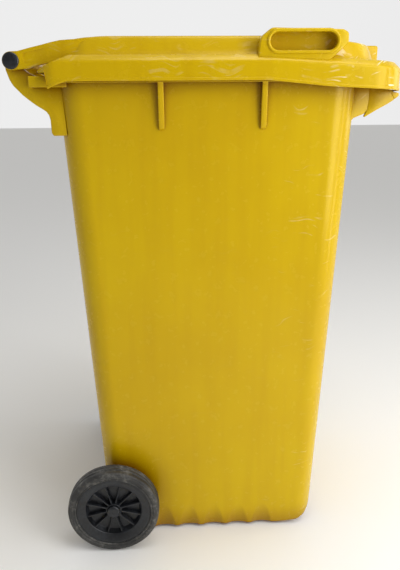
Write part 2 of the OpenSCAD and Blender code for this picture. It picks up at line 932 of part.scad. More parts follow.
module axle() {
  chamfer = 1.5;
  color("silver")
    translate([axle_x, 0, axle_z])
      rotate([90, 0, 0])
        rotate_extrude()
          polygon([
            [0, -axle_end_y], [axle_radius - chamfer, -axle_end_y],
            [axle_radius, -axle_end_y + chamfer], [axle_radius, axle_end_y - chamfer],
            [axle_radius - chamfer, axle_end_y], [0, axle_end_y]
          ]);
}

// Ring round the axle between two Y stations, measured outwards
module axle_ring(outer_radius, inner_radius, y_in, y_out) {
  translate([axle_x, 0, axle_z])
    difference() {
      cross_bar(outer_radius, -y_out, -y_in);
      cross_bar(inner_radius, -y_out - cut, -y_in + cut);
    }
}

module spacer() {
  color("dimgray")
    axle_ring(washer_radius, axle_radius, housing_face_y, housing_face_y + spacer_length);
}

module inner_washer() {
  color("silver")
    axle_ring(
      washer_radius, axle_radius,
      housing_face_y + spacer_length, housing_face_y + spacer_length + washer_thickness
    );
}

module outer_washer() {
  y = boss_outer_y + 0.4;
  color("silver")
    axle_ring(cap_radius - 2.2, axle_radius, y, y + washer_thickness - 0.4);
}

// Pressed steel push nut with a dished face
module push_nut() {
  y = boss_outer_y + washer_thickness;
  color("silver")
    translate([axle_x, -y, axle_z])
      rotate([90, 0, 0])
        rotate_extrude()
          polygon([
            [axle_radius, nut_thickness - 1.2],
            [axle_radius, nut_thickness],
            [axle_radius + 1, nut_thickness],
            [cap_radius - 2.2, 1.2],
            [cap_radius - 2.2, 0],
            [cap_radius - 3.4, 0],
            [axle_radius + 0.6, nut_thickness - 1.2]
          ]);
}

// Push-in cap over the end of the axle
module hub_cap() {
  length = axle_end_y - boss_outer_y + 4;
  inner = cap_radius - 2;
  color("darkslategray")
    translate([axle_x, -boss_outer_y, axle_z])
      rotate([90, 0, 0])
        rotate_extrude()
          polygon([
            [inner, 0], [cap_radius, 0], [cap_radius, length - 3],
            [cap_radius - 3, length], [0, length + 0.8],
            [0, length - 1.6], [inner, length - 2.4]
          ]);
}

// Solid rubber tyre
module tyre() {
  w = tyre_width / 2;
  r = wheel_radius;
  s = tyre_seat_radius;
  mid_y = -(tyre_inner_y + tyre_outer_y) / 2;
  color("dimgray")
    translate([axle_x, mid_y, axle_z])
      rotate([90, 0, 0])
        rotate_extrude($fn = 96)
          polygon([
            [s + rim_flange, -w + 3], [s + 8, -w + 0.5], [s + 13, -w],
            [r - 3.5, -w + 1.5], [r - 0.8, -w + 5], [r - 0.3, -w + 13],
            [r - 0.3, -w + 14], [r - 2, -w + 14.6], [r - 2, -w + 16.4], [r, -w + 17],
            [r, w - 17], [r - 2, w - 16.4], [r - 2, w - 14.6], [r - 0.3, w - 14],
            [r - 0.3, w - 13], [r - 0.8, w - 5], [r - 3.5, w - 1.5],
            [s + 13, w], [s + 8, w - 0.5], [s + rim_flange, w - 3],
            [s + rim_flange, w - 6], [s, w - 6], [s, -w + 6], [s + rim_flange, -w + 6]
          ]);
}

// Moulded rim with a dished face, radial spokes and a boss
module wheel_rim() {
  w = tyre_width / 2;
  s = tyre_seat_radius;
  mid_y = -(tyre_inner_y + tyre_outer_y) / 2;
  color("darkslategray")
    difference() {
      union() {
        translate([axle_x, mid_y, axle_z])
          rotate([90, 0, 0])
            rotate_extrude($fn = 96)
              polygon([
                [s - 4, -w + 3], [s + rim_flange, -w + 3], [s + rim_flange, -w + 6], [s, -w + 6],
                [s, w - 6], [s + rim_flange, w - 6], [s + rim_flange, w - 3], [rim_inner_radius, w - 3],
                [rim_inner_radius - 2, w - 5], [dish_radius, w - 21], [boss_radius - 2, w - 21],
                [boss_radius - 2, w - 21 - web_thickness], [dish_radius, w - 21 - web_thickness],
                [dish_radius + 4, w - 21 - web_thickness], [s - 5, w - 11], [s - 5, -w + 5]
              ]);
        translate([axle_x, 0, axle_z]) {
          cross_bar(boss_radius, -boss_outer_y, -boss_inner_y);
          // spokes on both faces of the web
          for (i = [0 : spoke_count - 1])
            rotate([0, i * 360 / spoke_count, 0])
              translate([boss_radius - 2, mid_y - w + 9.5, -spoke_thickness / 2])
                cube([dish_radius - boss_radius + 4, 22, spoke_thickness]);
          // collar that holds the cap
          cross_bar(boss_radius, -boss_outer_y - cap_skirt, -boss_outer_y);
        }
      }
      translate([axle_x, 0, axle_z]) {
        cross_bar(axle_radius + axle_clearance, -half_width - cut, -boss_inner_y + cut);
        cross_bar(cap_radius, -boss_outer_y - cap_skirt - cut, -boss_outer_y);
      }
    }
}

// ---- parts ----
bin_body();
lid();
hinge_pin();  // hinge_pin_right
mirror([0, 1, 0]) hinge_pin();  // hinge_pin_left
axle();
tyre();  // tyre_right
mirror([0, 1, 0]) tyre();  // tyre_left
wheel_rim();  // wheel_rim_right
mirror([0, 1, 0]) wheel_rim();  // wheel_rim_left
hub_cap();  // hub_cap_right
mirror([0, 1, 0]) hub_cap();  // hub_cap_left
push_nut();  // push_nut_right
mirror([0, 1, 0]) push_nut();  // push_nut_left
outer_washer();  // outer_washer_right
mirror([0, 1, 0]) outer_washer();  // outer_washer_left
inner_washer();  // inner_washer_right
mirror([0, 1, 0]) inner_washer();  // inner_washer_left
spacer();  // spacer_right
mirror([0, 1, 0]) spacer();  // spacer_left
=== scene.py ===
import json
import math
import bmesh
import bpy
from mathutils import Matrix, Vector, noise


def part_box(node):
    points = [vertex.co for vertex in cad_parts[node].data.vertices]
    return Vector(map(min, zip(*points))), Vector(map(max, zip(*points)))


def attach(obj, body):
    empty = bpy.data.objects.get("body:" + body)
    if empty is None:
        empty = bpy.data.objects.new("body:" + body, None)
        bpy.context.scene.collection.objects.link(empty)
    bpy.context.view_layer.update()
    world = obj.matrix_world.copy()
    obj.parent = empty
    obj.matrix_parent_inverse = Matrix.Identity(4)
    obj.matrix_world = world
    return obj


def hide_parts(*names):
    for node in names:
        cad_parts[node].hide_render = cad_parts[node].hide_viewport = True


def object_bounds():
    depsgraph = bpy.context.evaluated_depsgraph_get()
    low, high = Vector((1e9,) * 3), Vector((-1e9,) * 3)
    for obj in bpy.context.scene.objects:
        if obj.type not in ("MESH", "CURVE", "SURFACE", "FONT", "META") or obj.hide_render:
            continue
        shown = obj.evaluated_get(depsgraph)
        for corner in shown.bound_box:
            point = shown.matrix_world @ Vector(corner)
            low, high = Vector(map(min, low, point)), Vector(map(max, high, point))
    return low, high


# A two-wheeled bin in yellow HDPE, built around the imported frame.
# Pieces are worked out in millimetres, which newMesh turns into metres; the studio is in metres.
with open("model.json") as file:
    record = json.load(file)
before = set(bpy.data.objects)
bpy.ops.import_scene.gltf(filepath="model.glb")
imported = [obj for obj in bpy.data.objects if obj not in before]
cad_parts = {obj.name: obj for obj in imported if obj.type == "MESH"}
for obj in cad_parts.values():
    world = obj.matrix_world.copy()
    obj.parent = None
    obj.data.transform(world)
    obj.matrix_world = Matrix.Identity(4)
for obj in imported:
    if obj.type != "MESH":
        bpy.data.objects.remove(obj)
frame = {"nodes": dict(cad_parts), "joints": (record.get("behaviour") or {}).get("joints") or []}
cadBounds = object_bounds()
mm = 0.001


def linearColour(hexCode):
    shares = [int(hexCode[i:i + 2], 16) / 255 for i in (1, 3, 5)]
    return [c / 12.92 if c <= 0.04045 else ((c + 0.055) / 1.055) ** 2.4 for c in shares] + [1.0]


def perMetre(sizeMm):
    return 1000 / sizeMm  # texture scale that repeats about every sizeMm


def addNode(tree, kind, inputs=None, **settings):
    node = tree.nodes.new("ShaderNode" + kind)
    for name, value in settings.items():
        setattr(node, name, value)
    for name, value in (inputs or {}).items():
        if isinstance(value, bpy.types.NodeSocket):
            tree.links.new(value, node.inputs[name])
        else:
            node.inputs[name].default_value = value
    return node


def newMaterial(name, **shader):
    material = bpy.data.materials.new(name)
    material.use_nodes = True
    tree = material.node_tree
    bsdf = tree.nodes["Principled BSDF"]
    for socket, value in shader.items():
        bsdf.inputs[socket.replace("_", " ")].default_value = value
    coord = addNode(tree, "TexCoord").outputs["Object"]
    return material, tree, bsdf, coord


# shade is a painted shade colour, and shadeReachMm is how far from nearby surfaces the painted shade reaches
hdpeLook = {
    "pale": "#D0AE00", "deep": "#C8A300", "streak": "#BD9600", "grime": "#7A5A18", "scuff": "#FAF1CF",
    "reflection": "#FFE9A0", "shade": "#743A00", "shadeReachMm": 75, "grimeAmount": 0.4,
    "cloudMm": 340, "mottleMm": 14, "streakMm": 26, "streakTall": 0.06,
    "scratchMm": 4.4, "scratchStretch": 14, "scratchLean": 0.35, "curlMm": 60, "curlBy": 0.05, "patchMm": 45,
    "peelMm": 5, "grainMm": 1.6, "smooth": 0.2, "dull": 0.29,
}


def mouldedHdpe(name, scuffAmount, scuffFrom, scuffFloor, shadeAmount):
    # injection-moulded HDPE: waxy half-gloss, faint cloudy flow marks, whitened scratches where it is
    # knocked, and a painted brown shade in its hollows as strong as shadeAmount; scuffFrom is how far
    # forward, in metres, the knocks begin
    look = hdpeLook
    material, tree, bsdf, coord = newMaterial(name, IOR=1.54, Specular_IOR_Level=0.5,
                                              Specular_Tint=linearColour(look["reflection"]))
    field = {}
    for kind, detail in (("cloud", 3.0), ("mottle", 4.0), ("curl", 1.0), ("patch", 3.0), ("peel", 1.0),
                         ("grain", 2.0)):
        scale = perMetre(look[kind + "Mm"])
        field[kind] = addNode(tree, "TexNoise", {"Vector": coord, "Scale": scale, "Detail": detail}).outputs
    cloudBand = addNode(tree, "MapRange", {
        "Value": field["cloud"]["Fac"], "From Min": 0.35, "From Max": 0.65})
    tall = addNode(tree, "Mapping", {"Vector": coord, "Scale": (1.0, 1.0, look["streakTall"])})
    streak = addNode(tree, "TexNoise", {
        "Vector": tall.outputs[0], "Scale": perMetre(look["streakMm"]), "Detail": 2.0})
    streakBand = addNode(tree, "MapRange", {
        "Value": streak.outputs["Fac"], "From Min": 0.45, "From Max": 0.75, "To Max": 0.4})
    # grime gathers in the pores, thickest low down on the wall
    place = addNode(tree, "SeparateXYZ", {"Vector": coord})
    lowDown = addNode(tree, "MapRange", {
        "Value": place.outputs["Z"], "From Min": 0.0, "From Max": 0.12, "To Min": 0.3, "To Max": 0.08})
    pores = addNode(tree, "MapRange", {"Value": field["mottle"]["Fac"], "From Min": 0.56, "From Max": 0.72})
    # long thin scratches, bent by a slow noise so that they curl, in patches and mostly at the front
    warp = addNode(tree, "VectorMath", {
        0: field["curl"]["Color"], "Scale": look["curlBy"]}, operation="SCALE")
    shifted = addNode(tree, "VectorMath", {0: coord, 1: warp.outputs[0]}, operation="ADD")
    thin = 1 / look["scratchStretch"]
    drawnOut = addNode(tree, "Mapping", {
        "Vector": shifted.outputs[0], "Rotation": (0.0, look["scratchLean"], 0.0),
        "Scale": (thin, thin, 1.0)})
    scratch = addNode(tree, "TexNoise", {
        "Vector": drawnOut.outputs[0], "Scale": perMetre(look["scratchMm"]), "Detail": 2.0})
    scratchLine = addNode(tree, "MapRange", {
        "Value": scratch.outputs["Fac"], "From Min": scuffFloor, "From Max": scuffFloor + 0.04})
    patchBand = addNode(tree, "MapRange", {
        "Value": field["patch"]["Fac"], "From Min": 0.5, "From Max": 0.6})
    knocked = addNode(tree, "MapRange", {
        "Value": place.outputs["X"], "From Min": scuffFrom, "From Max": scuffFrom + 0.08,
        "To Min": 0.08, "To Max": 1.0})
    # painted shade: where the ambient-occlusion test finds surfaces close by, in the hollows, under the
    # skirt and between parts, the yellow is turned to the brown shade colour
    hollow = addNode(tree, "AmbientOcclusion", {"Distance": look["shadeReachMm"] * mm}, samples=8)
    paintedShadeBand = addNode(tree, "MapRange", {
        "Value": hollow.outputs["AO"], "From Min": 0.3, "From Max": 0.9,
        "To Min": shadeAmount, "To Max": 0.0})
    grime = lowDown.outputs[0]
    for share in (pores.outputs[0], look["grimeAmount"]):
        grime = addNode(tree, "Math", {0: grime, 1: share}, operation="MULTIPLY").outputs[0]
    scuff = scratchLine.outputs[0]
    for share in (patchBand.outputs[0], knocked.outputs[0], scuffAmount):
        scuff = addNode(tree, "Math", {0: scuff, 1: share}, operation="MULTIPLY").outputs[0]
    # colours are laid over the deep yellow one by one, the painted shade in the hollows last
    colour = linearColour(look["deep"])
    for mask, over in ((cloudBand.outputs[0], "pale"), (streakBand.outputs[0], "streak"),
                       (grime, "grime"), (scuff, "scuff"), (paintedShadeBand.outputs[0], "shade")):
        colour = addNode(tree, "Mix", {0: mask, 6: colour, 7: linearColour(look[over])},
                         data_type="RGBA").outputs[2]
    tree.links.new(colour, bsdf.inputs["Base Color"])
    gloss = addNode(tree, "MapRange", {
        "Value": field["mottle"]["Fac"], "From Min": 0.3, "From Max": 0.7,
        "To Min": look["smooth"], "To Max": look["dull"]})
    worn = addNode(tree, "Math", {0: scuff, 1: 0.3, 2: gloss.outputs[0]}, operation="MULTIPLY_ADD")
    tree.links.new(worn.outputs[0], bsdf.inputs["Roughness"])
    # orange peel from the mould, and a fine grain drawn coarser than real so that it shows
    bumpPeel = addNode(tree, "Bump", {
        "Height": field["peel"]["Fac"], "Strength": 0.02, "Distance": 0.0005})
    bumpGrain = addNode(tree, "Bump", {
        "Height": field["grain"]["Fac"], "Strength": 0.03, "Distance": 0.0002,
        "Normal": bumpPeel.outputs[0]})
    bumpScratch = addNode(tree, "Bump", {
        "Height": scuff, "Strength": 0.25, "Distance": 0.0003, "Normal": bumpGrain.outputs[0]})
    tree.links.new(bumpScratch.outputs[0], bsdf.inputs["Normal"])
    return material


darkLook = {
    "nylon": {"black": "#0D0F12", "dusty": "#1D2025", "smooth": 0.26, "dull": 0.42},
    "polypropylene": {"black": "#0F1013", "dusty": "#25282D", "smooth": 0.3, "dull": 0.5},
    "speckMm": 5, "cloudMm": 30, "grainMm": 1.2,
}


def mouldedBlack(name, kind):
    # moulded nylon or polypropylene: satin blue-black under a film of grey dust, with fine rubbed specks
    look = darkLook[kind]
    material, tree, bsdf, coord = newMaterial(name, IOR=1.5)
    cloud = addNode(tree, "TexNoise", {
        "Vector": coord, "Scale": perMetre(darkLook["cloudMm"]), "Detail": 5.0})
    speck = addNode(tree, "TexNoise", {
        "Vector": coord, "Scale": perMetre(darkLook["speckMm"]), "Detail": 4.0})
    film = addNode(tree, "Math", {0: cloud.outputs["Fac"], 1: speck.outputs["Fac"]}, operation="MULTIPLY")
    band = addNode(tree, "MapRange", {"Value": film.outputs[0], "From Min": 0.18, "From Max": 0.4})
    tone = addNode(tree, "Mix", {
        0: band.outputs[0], 6: linearColour(look["black"]), 7: linearColour(look["dusty"])},
        data_type="RGBA")
    tree.links.new(tone.outputs[2], bsdf.inputs["Base Color"])
    gloss = addNode(tree, "MapRange", {
        "Value": band.outputs[0], "To Min": look["smooth"], "To Max": look["dull"]})
    tree.links.new(gloss.outputs[0], bsdf.inputs["Roughness"])
    grain = addNode(tree, "TexNoise", {
        "Vector": coord, "Scale": perMetre(darkLook["grainMm"]), "Detail": 2.0})
    bump = addNode(tree, "Bump", {"Height": grain.outputs["Fac"], "Strength": 0.15, "Distance": 0.0003})
    tree.links.new(bump.outputs[0], bsdf.inputs["Normal"])
    return material


rubberLook = {
    "black": "#232221", "worn": "#3A3937", "dust": "#85837C",
    "cloudMm": 40, "scrapeMm": 9, "grainMm": 1.5, "smooth": 0.55, "dull": 0.85,
}


def mouldedRubber(name):
    # moulded solid rubber: dull charcoal, scraped lighter in patches, road dust rubbed in
    look = rubberLook
    material, tree, bsdf, coord = newMaterial(name, IOR=1.52)
    cloud = addNode(tree, "TexNoise", {"Vector": coord, "Scale": perMetre(look["cloudMm"]), "Detail": 6.0})
    band = addNode(tree, "MapRange", {"Value": cloud.outputs["Fac"], "From Min": 0.38, "From Max": 0.64})
    tone = addNode(tree, "Mix", {
        0: band.outputs[0], 6: linearColour(look["black"]), 7: linearColour(look["worn"])},
        data_type="RGBA")
    scrape = addNode(tree, "TexNoise", {
        "Vector": coord, "Scale": perMetre(look["scrapeMm"]), "Detail": 5.0, "Roughness": 0.65})
    scraped = addNode(tree, "MapRange", {
        "Value": scrape.outputs["Fac"], "From Min": 0.48, "From Max": 0.68})
    dustMask = addNode(tree, "Math", {0: scraped.outputs[0], 1: band.outputs[0]}, operation="MULTIPLY")
    dustSoft = addNode(tree, "Math", {0: dustMask.outputs[0], 1: 0.75}, operation="MULTIPLY")
    dusty = addNode(tree, "Mix", {
        0: dustSoft.outputs[0], 6: tone.outputs[2], 7: linearColour(look["dust"])}, data_type="RGBA")
    tree.links.new(dusty.outputs[2], bsdf.inputs["Base Color"])
    gloss = addNode(tree, "MapRange", {
        "Value": scraped.outputs[0], "To Min": look["smooth"], "To Max": look["dull"]})
    tree.links.new(gloss.outputs[0], bsdf.inputs["Roughness"])
    grain = addNode(tree, "TexNoise", {"Vector": coord, "Scale": perMetre(look["grainMm"]), "Detail": 3.0})
    bump = addNode(tree, "Bump", {"Height": grain.outputs["Fac"], "Strength": 0.35, "Distance": 0.0005})
    rough = addNode(tree, "Bump", {
        "Height": scrape.outputs["Fac"], "Strength": 0.3, "Distance": 0.001, "Normal": bump.outputs[0]})
    tree.links.new(rough.outputs[0], bsdf.inputs["Normal"])
    return material


steelLook = {
    "drawn": {"pale": "#B9BBBE", "dull": "#8E8F90", "sizeMm": 0.8, "stretch": 0.03},
    "zinc": {"pale": "#C6CBD0", "dull": "#9DA4AC", "sizeMm": 3, "stretch": 1.0},
}


def brightSteel(name, finish):
    # drawn bar keeps fine lines along its length; zinc plate shows a faint cloudy spangle
    look = steelLook[finish]
    material, tree, bsdf, coord = newMaterial(name, Metallic=1.0)
    mapped = addNode(tree, "Mapping", {"Vector": coord, "Scale": (1.0, look["stretch"], 1.0)})
    line = addNode(tree, "TexNoise", {
        "Vector": mapped.outputs[0], "Scale": perMetre(look["sizeMm"]), "Detail": 3.0})
    tone = addNode(tree, "Mix", {
        0: line.outputs["Fac"], 6: linearColour(look["pale"]), 7: linearColour(look["dull"])},
        data_type="RGBA")
    tree.links.new(tone.outputs[2], bsdf.inputs["Base Color"])
    gloss = addNode(tree, "MapRange", {"Value": line.outputs["Fac"], "To Min": 0.24, "To Max": 0.46})
    tree.links.new(gloss.outputs[0], bsdf.inputs["Roughness"])
    bump = addNode(tree, "Bump", {"Height": line.outputs["Fac"], "Strength": 0.1, "Distance": 0.0002})
    tree.links.new(bump.outputs[0], bsdf.inputs["Normal"])
    return material


# the lid is handled and knocked, so its scratches are many; the body keeps only a few; the body gets a
# strong painted shade in its hollows, the lid only a faint one
bodyHdpe = mouldedHdpe("moulded HDPE body", scuffAmount=0.16, scuffFrom=0.1, scuffFloor=0.66,
                       shadeAmount=0.92)
lidHdpe = mouldedHdpe("moulded HDPE lid", scuffAmount=1.0, scuffFrom=0.2, scuffFloor=0.565,
                      shadeAmount=0.12)
nylon = mouldedBlack("moulded nylon", "nylon")
polypropylene = mouldedBlack("moulded polypropylene", "polypropylene")
rubber = mouldedRubber("moulded rubber")
drawnSteel = brightSteel("drawn steel", "drawn")
zincSteel = brightSteel("zinc-plated steel", "zinc")
print("materials made")


def planLoop(rear, front, half, frontRadius, rearRadius, across=26, along=110, corner=14):
    # rounded rectangle seen from above, always with the same number of points
    loop = []

    def edge(x0, y0, x1, y1, steps):
        loop.extend((x0 + (x1 - x0) * i / steps, y0 + (y1 - y0) * i / steps) for i in range(steps))

    def turn(x, y, radius, start):
        for i in range(corner):
            angle = start + math.pi / 2 * i / corner
            loop.append((x + radius * math.cos(angle), y + radius * math.sin(angle)))

    edge(front, frontRadius - half, front, half - frontRadius, across)
    turn(front - frontRadius, half - frontRadius, frontRadius, 0)
    edge(front - frontRadius, half, rear + rearRadius, half, along)
    turn(rear + rearRadius, half - rearRadius, rearRadius, math.pi / 2)
    edge(rear, half - rearRadius, rear, rearRadius - half, across)
    turn(rear + rearRadius, rearRadius - half, rearRadius, math.pi)
    edge(rear + rearRadius, -half, front - frontRadius, -half, along)
    turn(front - frontRadius, frontRadius - half, frontRadius, 1.5 * math.pi)
    return loop


def loftFaces(ringCount, count, closed=False):
    # skin over rings of equal count; an open run of rings gets a cap at each end
    faces = []
    for i in range(ringCount if closed else ringCount - 1):
        near = i * count
        far = (i + 1) % ringCount * count
        faces += [(near + j, near + (j + 1) % count, far + (j + 1) % count, far + j) for j in range(count)]
    if not closed:
        faces += [tuple(range(count))[::-1], tuple(range((ringCount - 1) * count, ringCount * count))]
    return faces


def newMesh(name, verts, faces):
    mesh = bpy.data.meshes.new(name)
    mesh.from_pydata([(x * mm, y * mm, z * mm) for x, y, z in verts], [], faces)
    shape = bmesh.new()
    shape.from_mesh(mesh)
    bmesh.ops.remove_doubles(shape, verts=shape.verts, dist=0.01 * mm)
    bmesh.ops.dissolve_degenerate(shape, edges=shape.edges, dist=0.005 * mm)
    bmesh.ops.recalc_face_normals(shape, faces=shape.faces)
    shape.to_mesh(mesh)
    shape.free()
    piece = bpy.data.objects.new(name, mesh)
    bpy.context.scene.collection.objects.link(piece)
    return piece


def loftRings(name, rings, closed=False):
    return newMesh(name, [point for ring in rings for point in ring],
                   loftFaces(len(rings), len(rings[0]), closed))


def settle(piece):
    # turns the piece's modifiers into its own mesh
    shaped = piece.evaluated_get(bpy.context.evaluated_depsgraph_get())
    mesh = bpy.data.meshes.new_from_object(shaped)
    old = piece.data
    piece.modifiers.clear()
    piece.data = mesh
    bpy.data.meshes.remove(old)


def bevelEdges(piece, width, segments=3, angle=28):
    bevel = piece.modifiers.new("rounding", "BEVEL")
    bevel.width = width * mm
    bevel.segments = segments
    bevel.limit_method = "ANGLE"
    bevel.angle_limit = math.radians(angle)
    settle(piece)


def discard(piece):
    mesh = piece.data
    bpy.data.objects.remove(piece)
    bpy.data.meshes.remove(mesh)


def cutAway(piece, cutter):
    cut = piece.modifiers.new("cut", "BOOLEAN")
    cut.object = cutter
    cut.operation = "DIFFERENCE"
    cut.solver = "EXACT"
    settle(piece)
    discard(cutter)


def joinPieces(name, pieces):
    shape = bmesh.new()
    for piece in pieces:
        shape.from_mesh(piece.data)
        discard(piece)
    mesh = bpy.data.meshes.new(name)
    shape.to_mesh(mesh)
    shape.free()
    joined = bpy.data.objects.new(name, mesh)
    bpy.context.scene.collection.objects.link(joined)
    return joined


def finishPiece(piece, material, body, replaced=(), sharpAngle=32):
    piece.data.materials.clear()
    piece.data.materials.append(material)
    for face in piece.data.polygons:
        face.use_smooth = True
    piece.data.set_sharp_from_angle(angle=math.radians(sharpAngle))
    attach(piece, body)
    if replaced:
        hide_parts(*replaced)
    print("made", piece.name, len(piece.data.polygons), "faces")


def upright(name, outline, y0, y1, rounding=1.2):
    # plate whose outline stands in the XZ plane
    plate = loftRings(name, [[(x, y0, z) for x, z in outline], [(x, y1, z) for x, z in outline]])
    if rounding:
        bevelEdges(plate, rounding)
    return plate


def crosswise(name, outline, x0, x1, rounding=1.2):
    # plate whose outline stands in the YZ plane
    plate = loftRings(name, [[(x0, y, z) for y, z in outline], [(x1, y, z) for y, z in outline]])
    if rounding:
        bevelEdges(plate, rounding)
    return plate


def lathe(name, profile, x, z, side=1, steps=96):
    # turned about an axle along Y; the profile lists (radius, distance from the middle of the bin)
    rings = []
    for i in range(steps):
        angle = 2 * math.pi * i / steps
        rings.append([(x + r * math.cos(angle), side * y, z + r * math.sin(angle)) for r, y in profile])
    return loftRings(name, rings, closed=True)


def roundedOutline(corners, steps=5):
    # corners are (x, z, radius); each one with a radius is replaced by an arc
    outline = []
    for i, (x, z, radius) in enumerate(corners):
        if radius == 0:
            outline.append((x, z))
            continue
        here = Vector((x, z))
        before = (Vector(corners[i - 1][:2]) - here).normalized()
        after = (Vector(corners[(i + 1) % len(corners)][:2]) - here).normalized()
        half = before.angle(after) / 2
        reach = radius / math.tan(half)
        centre = here + (before + after).normalized() * radius / math.sin(half)
        start = here + before * reach - centre
        end = here + after * reach - centre
        for k in range(steps + 1):
            spoke = start.slerp(end, k / steps) * radius
            outline.append((centre.x + spoke.x, centre.y + spoke.y))
    return outline


def arcPoints(x, z, radius, start, sweep, steps):
    angles = [start + sweep * i / steps for i in range(steps + 1)]
    return [(x + radius * math.cos(angle), z + radius * math.sin(angle)) for angle in angles]


# places that the pieces share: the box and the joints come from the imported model
overallLow, overallHigh = (corner / mm for corner in cadBounds)
frontX = overallHigh.x
halfWidth = overallHigh.y
jointPlaces = {joint["child"]: Vector(joint["pos_m"]) / mm for joint in frame["joints"]}
hinge = jointPlaces["lid"]
wheelHub = jointPlaces["wheel_right"]
rimZ = 1010
wall = 4

shellSet = {
    "rearAtRim": hinge.x + 69.5, "rearTaper": 49, "frontAtRim": frontX - 80, "frontTaper": 41,
    "halfAtRim": 262, "sideTaper": 40, "cornerAtRim": 50, "cornerAtBase": 42, "sideSteps": 170,
    "baseZ": 5.5, "floor": 5, "baseRounding": 3, "top": rimZ - 1.5,
    "footRadius": 46, "footSlope": math.radians(7), "footLead": 47,
    "flutes": 5, "flutePitch": 56.5, "fluteGap": 4, "fluteFront": 118.5, "fluteDepth": 7, "fluteHeight": 66,
    "archRadius": 58, "waviness": 0.7, "waveMm": 190, "tallWaveMm": 230, "waveTop": 960,
}


def rearWall(z):
    return shellSet["rearAtRim"] + shellSet["rearTaper"] * (rimZ - z) / rimZ


def frontWall(z):
    return shellSet["frontAtRim"] - shellSet["frontTaper"] * (rimZ - z) / rimZ


def sideWall(z):
    return shellSet["halfAtRim"] - shellSet["sideTaper"] * (rimZ - z) / rimZ


base = shellSet["baseZ"]
footSin = math.sin(shellSet["footSlope"])
footCos = math.cos(shellSet["footSlope"])
footZ = base + shellSet["footLead"] * footSin + shellSet["footRadius"] * footCos
footX = frontWall(footZ) - shellSet["footRadius"]
ridgeX = footX + shellSet["footRadius"] * footSin - shellSet["footLead"] * footCos
fluteDepth = shellSet["fluteDepth"]
fluteReach = (shellSet["flutePitch"] - shellSet["fluteGap"]) / 2
fluteRadius = (fluteReach ** 2 + fluteDepth ** 2) / (2 * fluteDepth)
fluteLean = (fluteDepth + shellSet["sideTaper"] * shellSet["fluteHeight"] / rimZ) / shellSet["fluteHeight"]
fluteCentres = [frontWall(0) - shellSet["fluteFront"] - i * shellSet["flutePitch"]
                for i in range(shellSet["flutes"])]


def footLimit(z, inset):
    # how far forward the shell may reach at a height: front wall, big bottom radius, then the slope
    if z >= footZ:
        return math.inf
    radius = shellSet["footRadius"] - inset
    touch = footZ - radius * footCos
    if z >= touch:
        return footX + math.sqrt(radius ** 2 - (footZ - z) ** 2)
    return footX + radius * footSin - (touch - z) / math.tan(shellSet["footSlope"])


def fluteLimit(x, z, inset):
    # half width left by the nearest scallop
    reach = min(abs(x - centre) for centre in fluteCentres)
    radius = fluteRadius + inset
    if reach >= radius:
        return math.inf
    axis = sideWall(0) + fluteRadius - fluteDepth + z * fluteLean
    return axis - math.sqrt(radius ** 2 - reach ** 2)


def shellRing(z, inset):
    rounding = shellSet["baseRounding"]
    rise = z - base
    edge = inset
    if inset == 0 and rise < rounding:
        edge += rounding - math.sqrt(rounding ** 2 - (rounding - rise) ** 2)
    share = z / rimZ
    radius = shellSet["cornerAtBase"] * (1 - share) + shellSet["cornerAtRim"] * share - edge
    limit = footLimit(z, inset) - (edge - inset)
    plan = planLoop(rearWall(z) + edge, frontWall(z) - edge, sideWall(z) - edge, radius, radius,
                    along=shellSet["sideSteps"])
    ring = []
    for x, y in plan:
        x = min(x, limit)
        if inset == 0 and z < shellSet["waveTop"]:
            # moulded walls are never quite flat
            spot = Vector((x / shellSet["waveMm"], y / shellSet["waveMm"], z / shellSet["tallWaveMm"]))
            y -= math.copysign(shellSet["waviness"], y) * (0.5 + 0.5 * noise.noise(spot))
        half = fluteLimit(x, z, edge)
        if abs(y) > half:
            y = math.copysign(half, y)
        ring.append((x, y, z))
    return ring


def archCutter(grow):
    # the wheel arch is a quarter round above the axle, open to the rear and below
    radius = shellSet["archRadius"] + grow
    behind = wheelHub.x - 400
    below = -50
    arc = arcPoints(wheelHub.x, wheelHub.z, radius, 0, math.pi / 2, 24)
    return upright("arch", [(behind, below), (wheelHub.x + radius, below)] + arc
                   + [(behind, wheelHub.z + radius)], -halfWidth - 5, halfWidth + 5, 0)


# rings are close together where the base, the flutes and the floor curve
bodyHeights = [base, base + 0.6, base + 1.5, base + 3, 9.6, 10.4, 11.3, 12.6, 14.5, 17.5, 21.5, 26, 31, 37]
bodyHeights += [43, 50, 57, 62, 67, 72, 80] + list(range(100, 1000, 20)) + [shellSet["top"]]
cavityHeights = [base + shellSet["floor"], 11.5, 12.5, 13.8, 15.4, 17.8, 21.5, 26, 31, 37, 43, 50, 57]
cavityHeights += [64, 72] + list(range(100, 1000, 60)) + [rimZ + 5]
cavity = loftRings("cavity", [shellRing(z, wall) for z in cavityHeights])
cutAway(cavity, archCutter(wall))
binShell = loftRings("bin_shell", [shellRing(z, 0) for z in bodyHeights])
cutAway(binShell, archCutter(0))
cutAway(binShell, cavity)
finishPiece(binShell, bodyHdpe, "frame", ("bin_body",), 24)

# the front foot is a low bar under the sloping part of the base
footTop = base + shellSet["footLead"] * footSin
footHalf = sideWall(0) - 34
foot = upright("front_foot", [
    (ridgeX - 44, base + 1), (ridgeX - 39, 0), (ridgeX, 0), (ridgeX + 12, base - 2),
    (ridgeX + 41, footTop - 2), (ridgeX + 37, footTop + 2), (ridgeX, base + 2)], -footHalf, footHalf, 1.5)
finishPiece(foot, bodyHdpe, "frame")

collarSet = {"rear": shellSet["rearAtRim"] - 14.5, "front": frontX - 13, "half": halfWidth - 10,
             "radius": 58, "drop": 18, "lap": 0.3}


def collarRing(inset, z):
    radius = collarSet["radius"] - inset
    plan = planLoop(collarSet["rear"] + inset, collarSet["front"] - inset, collarSet["half"] - inset,
                    radius, radius)
    return [(x, y, z) for x, y in plan]


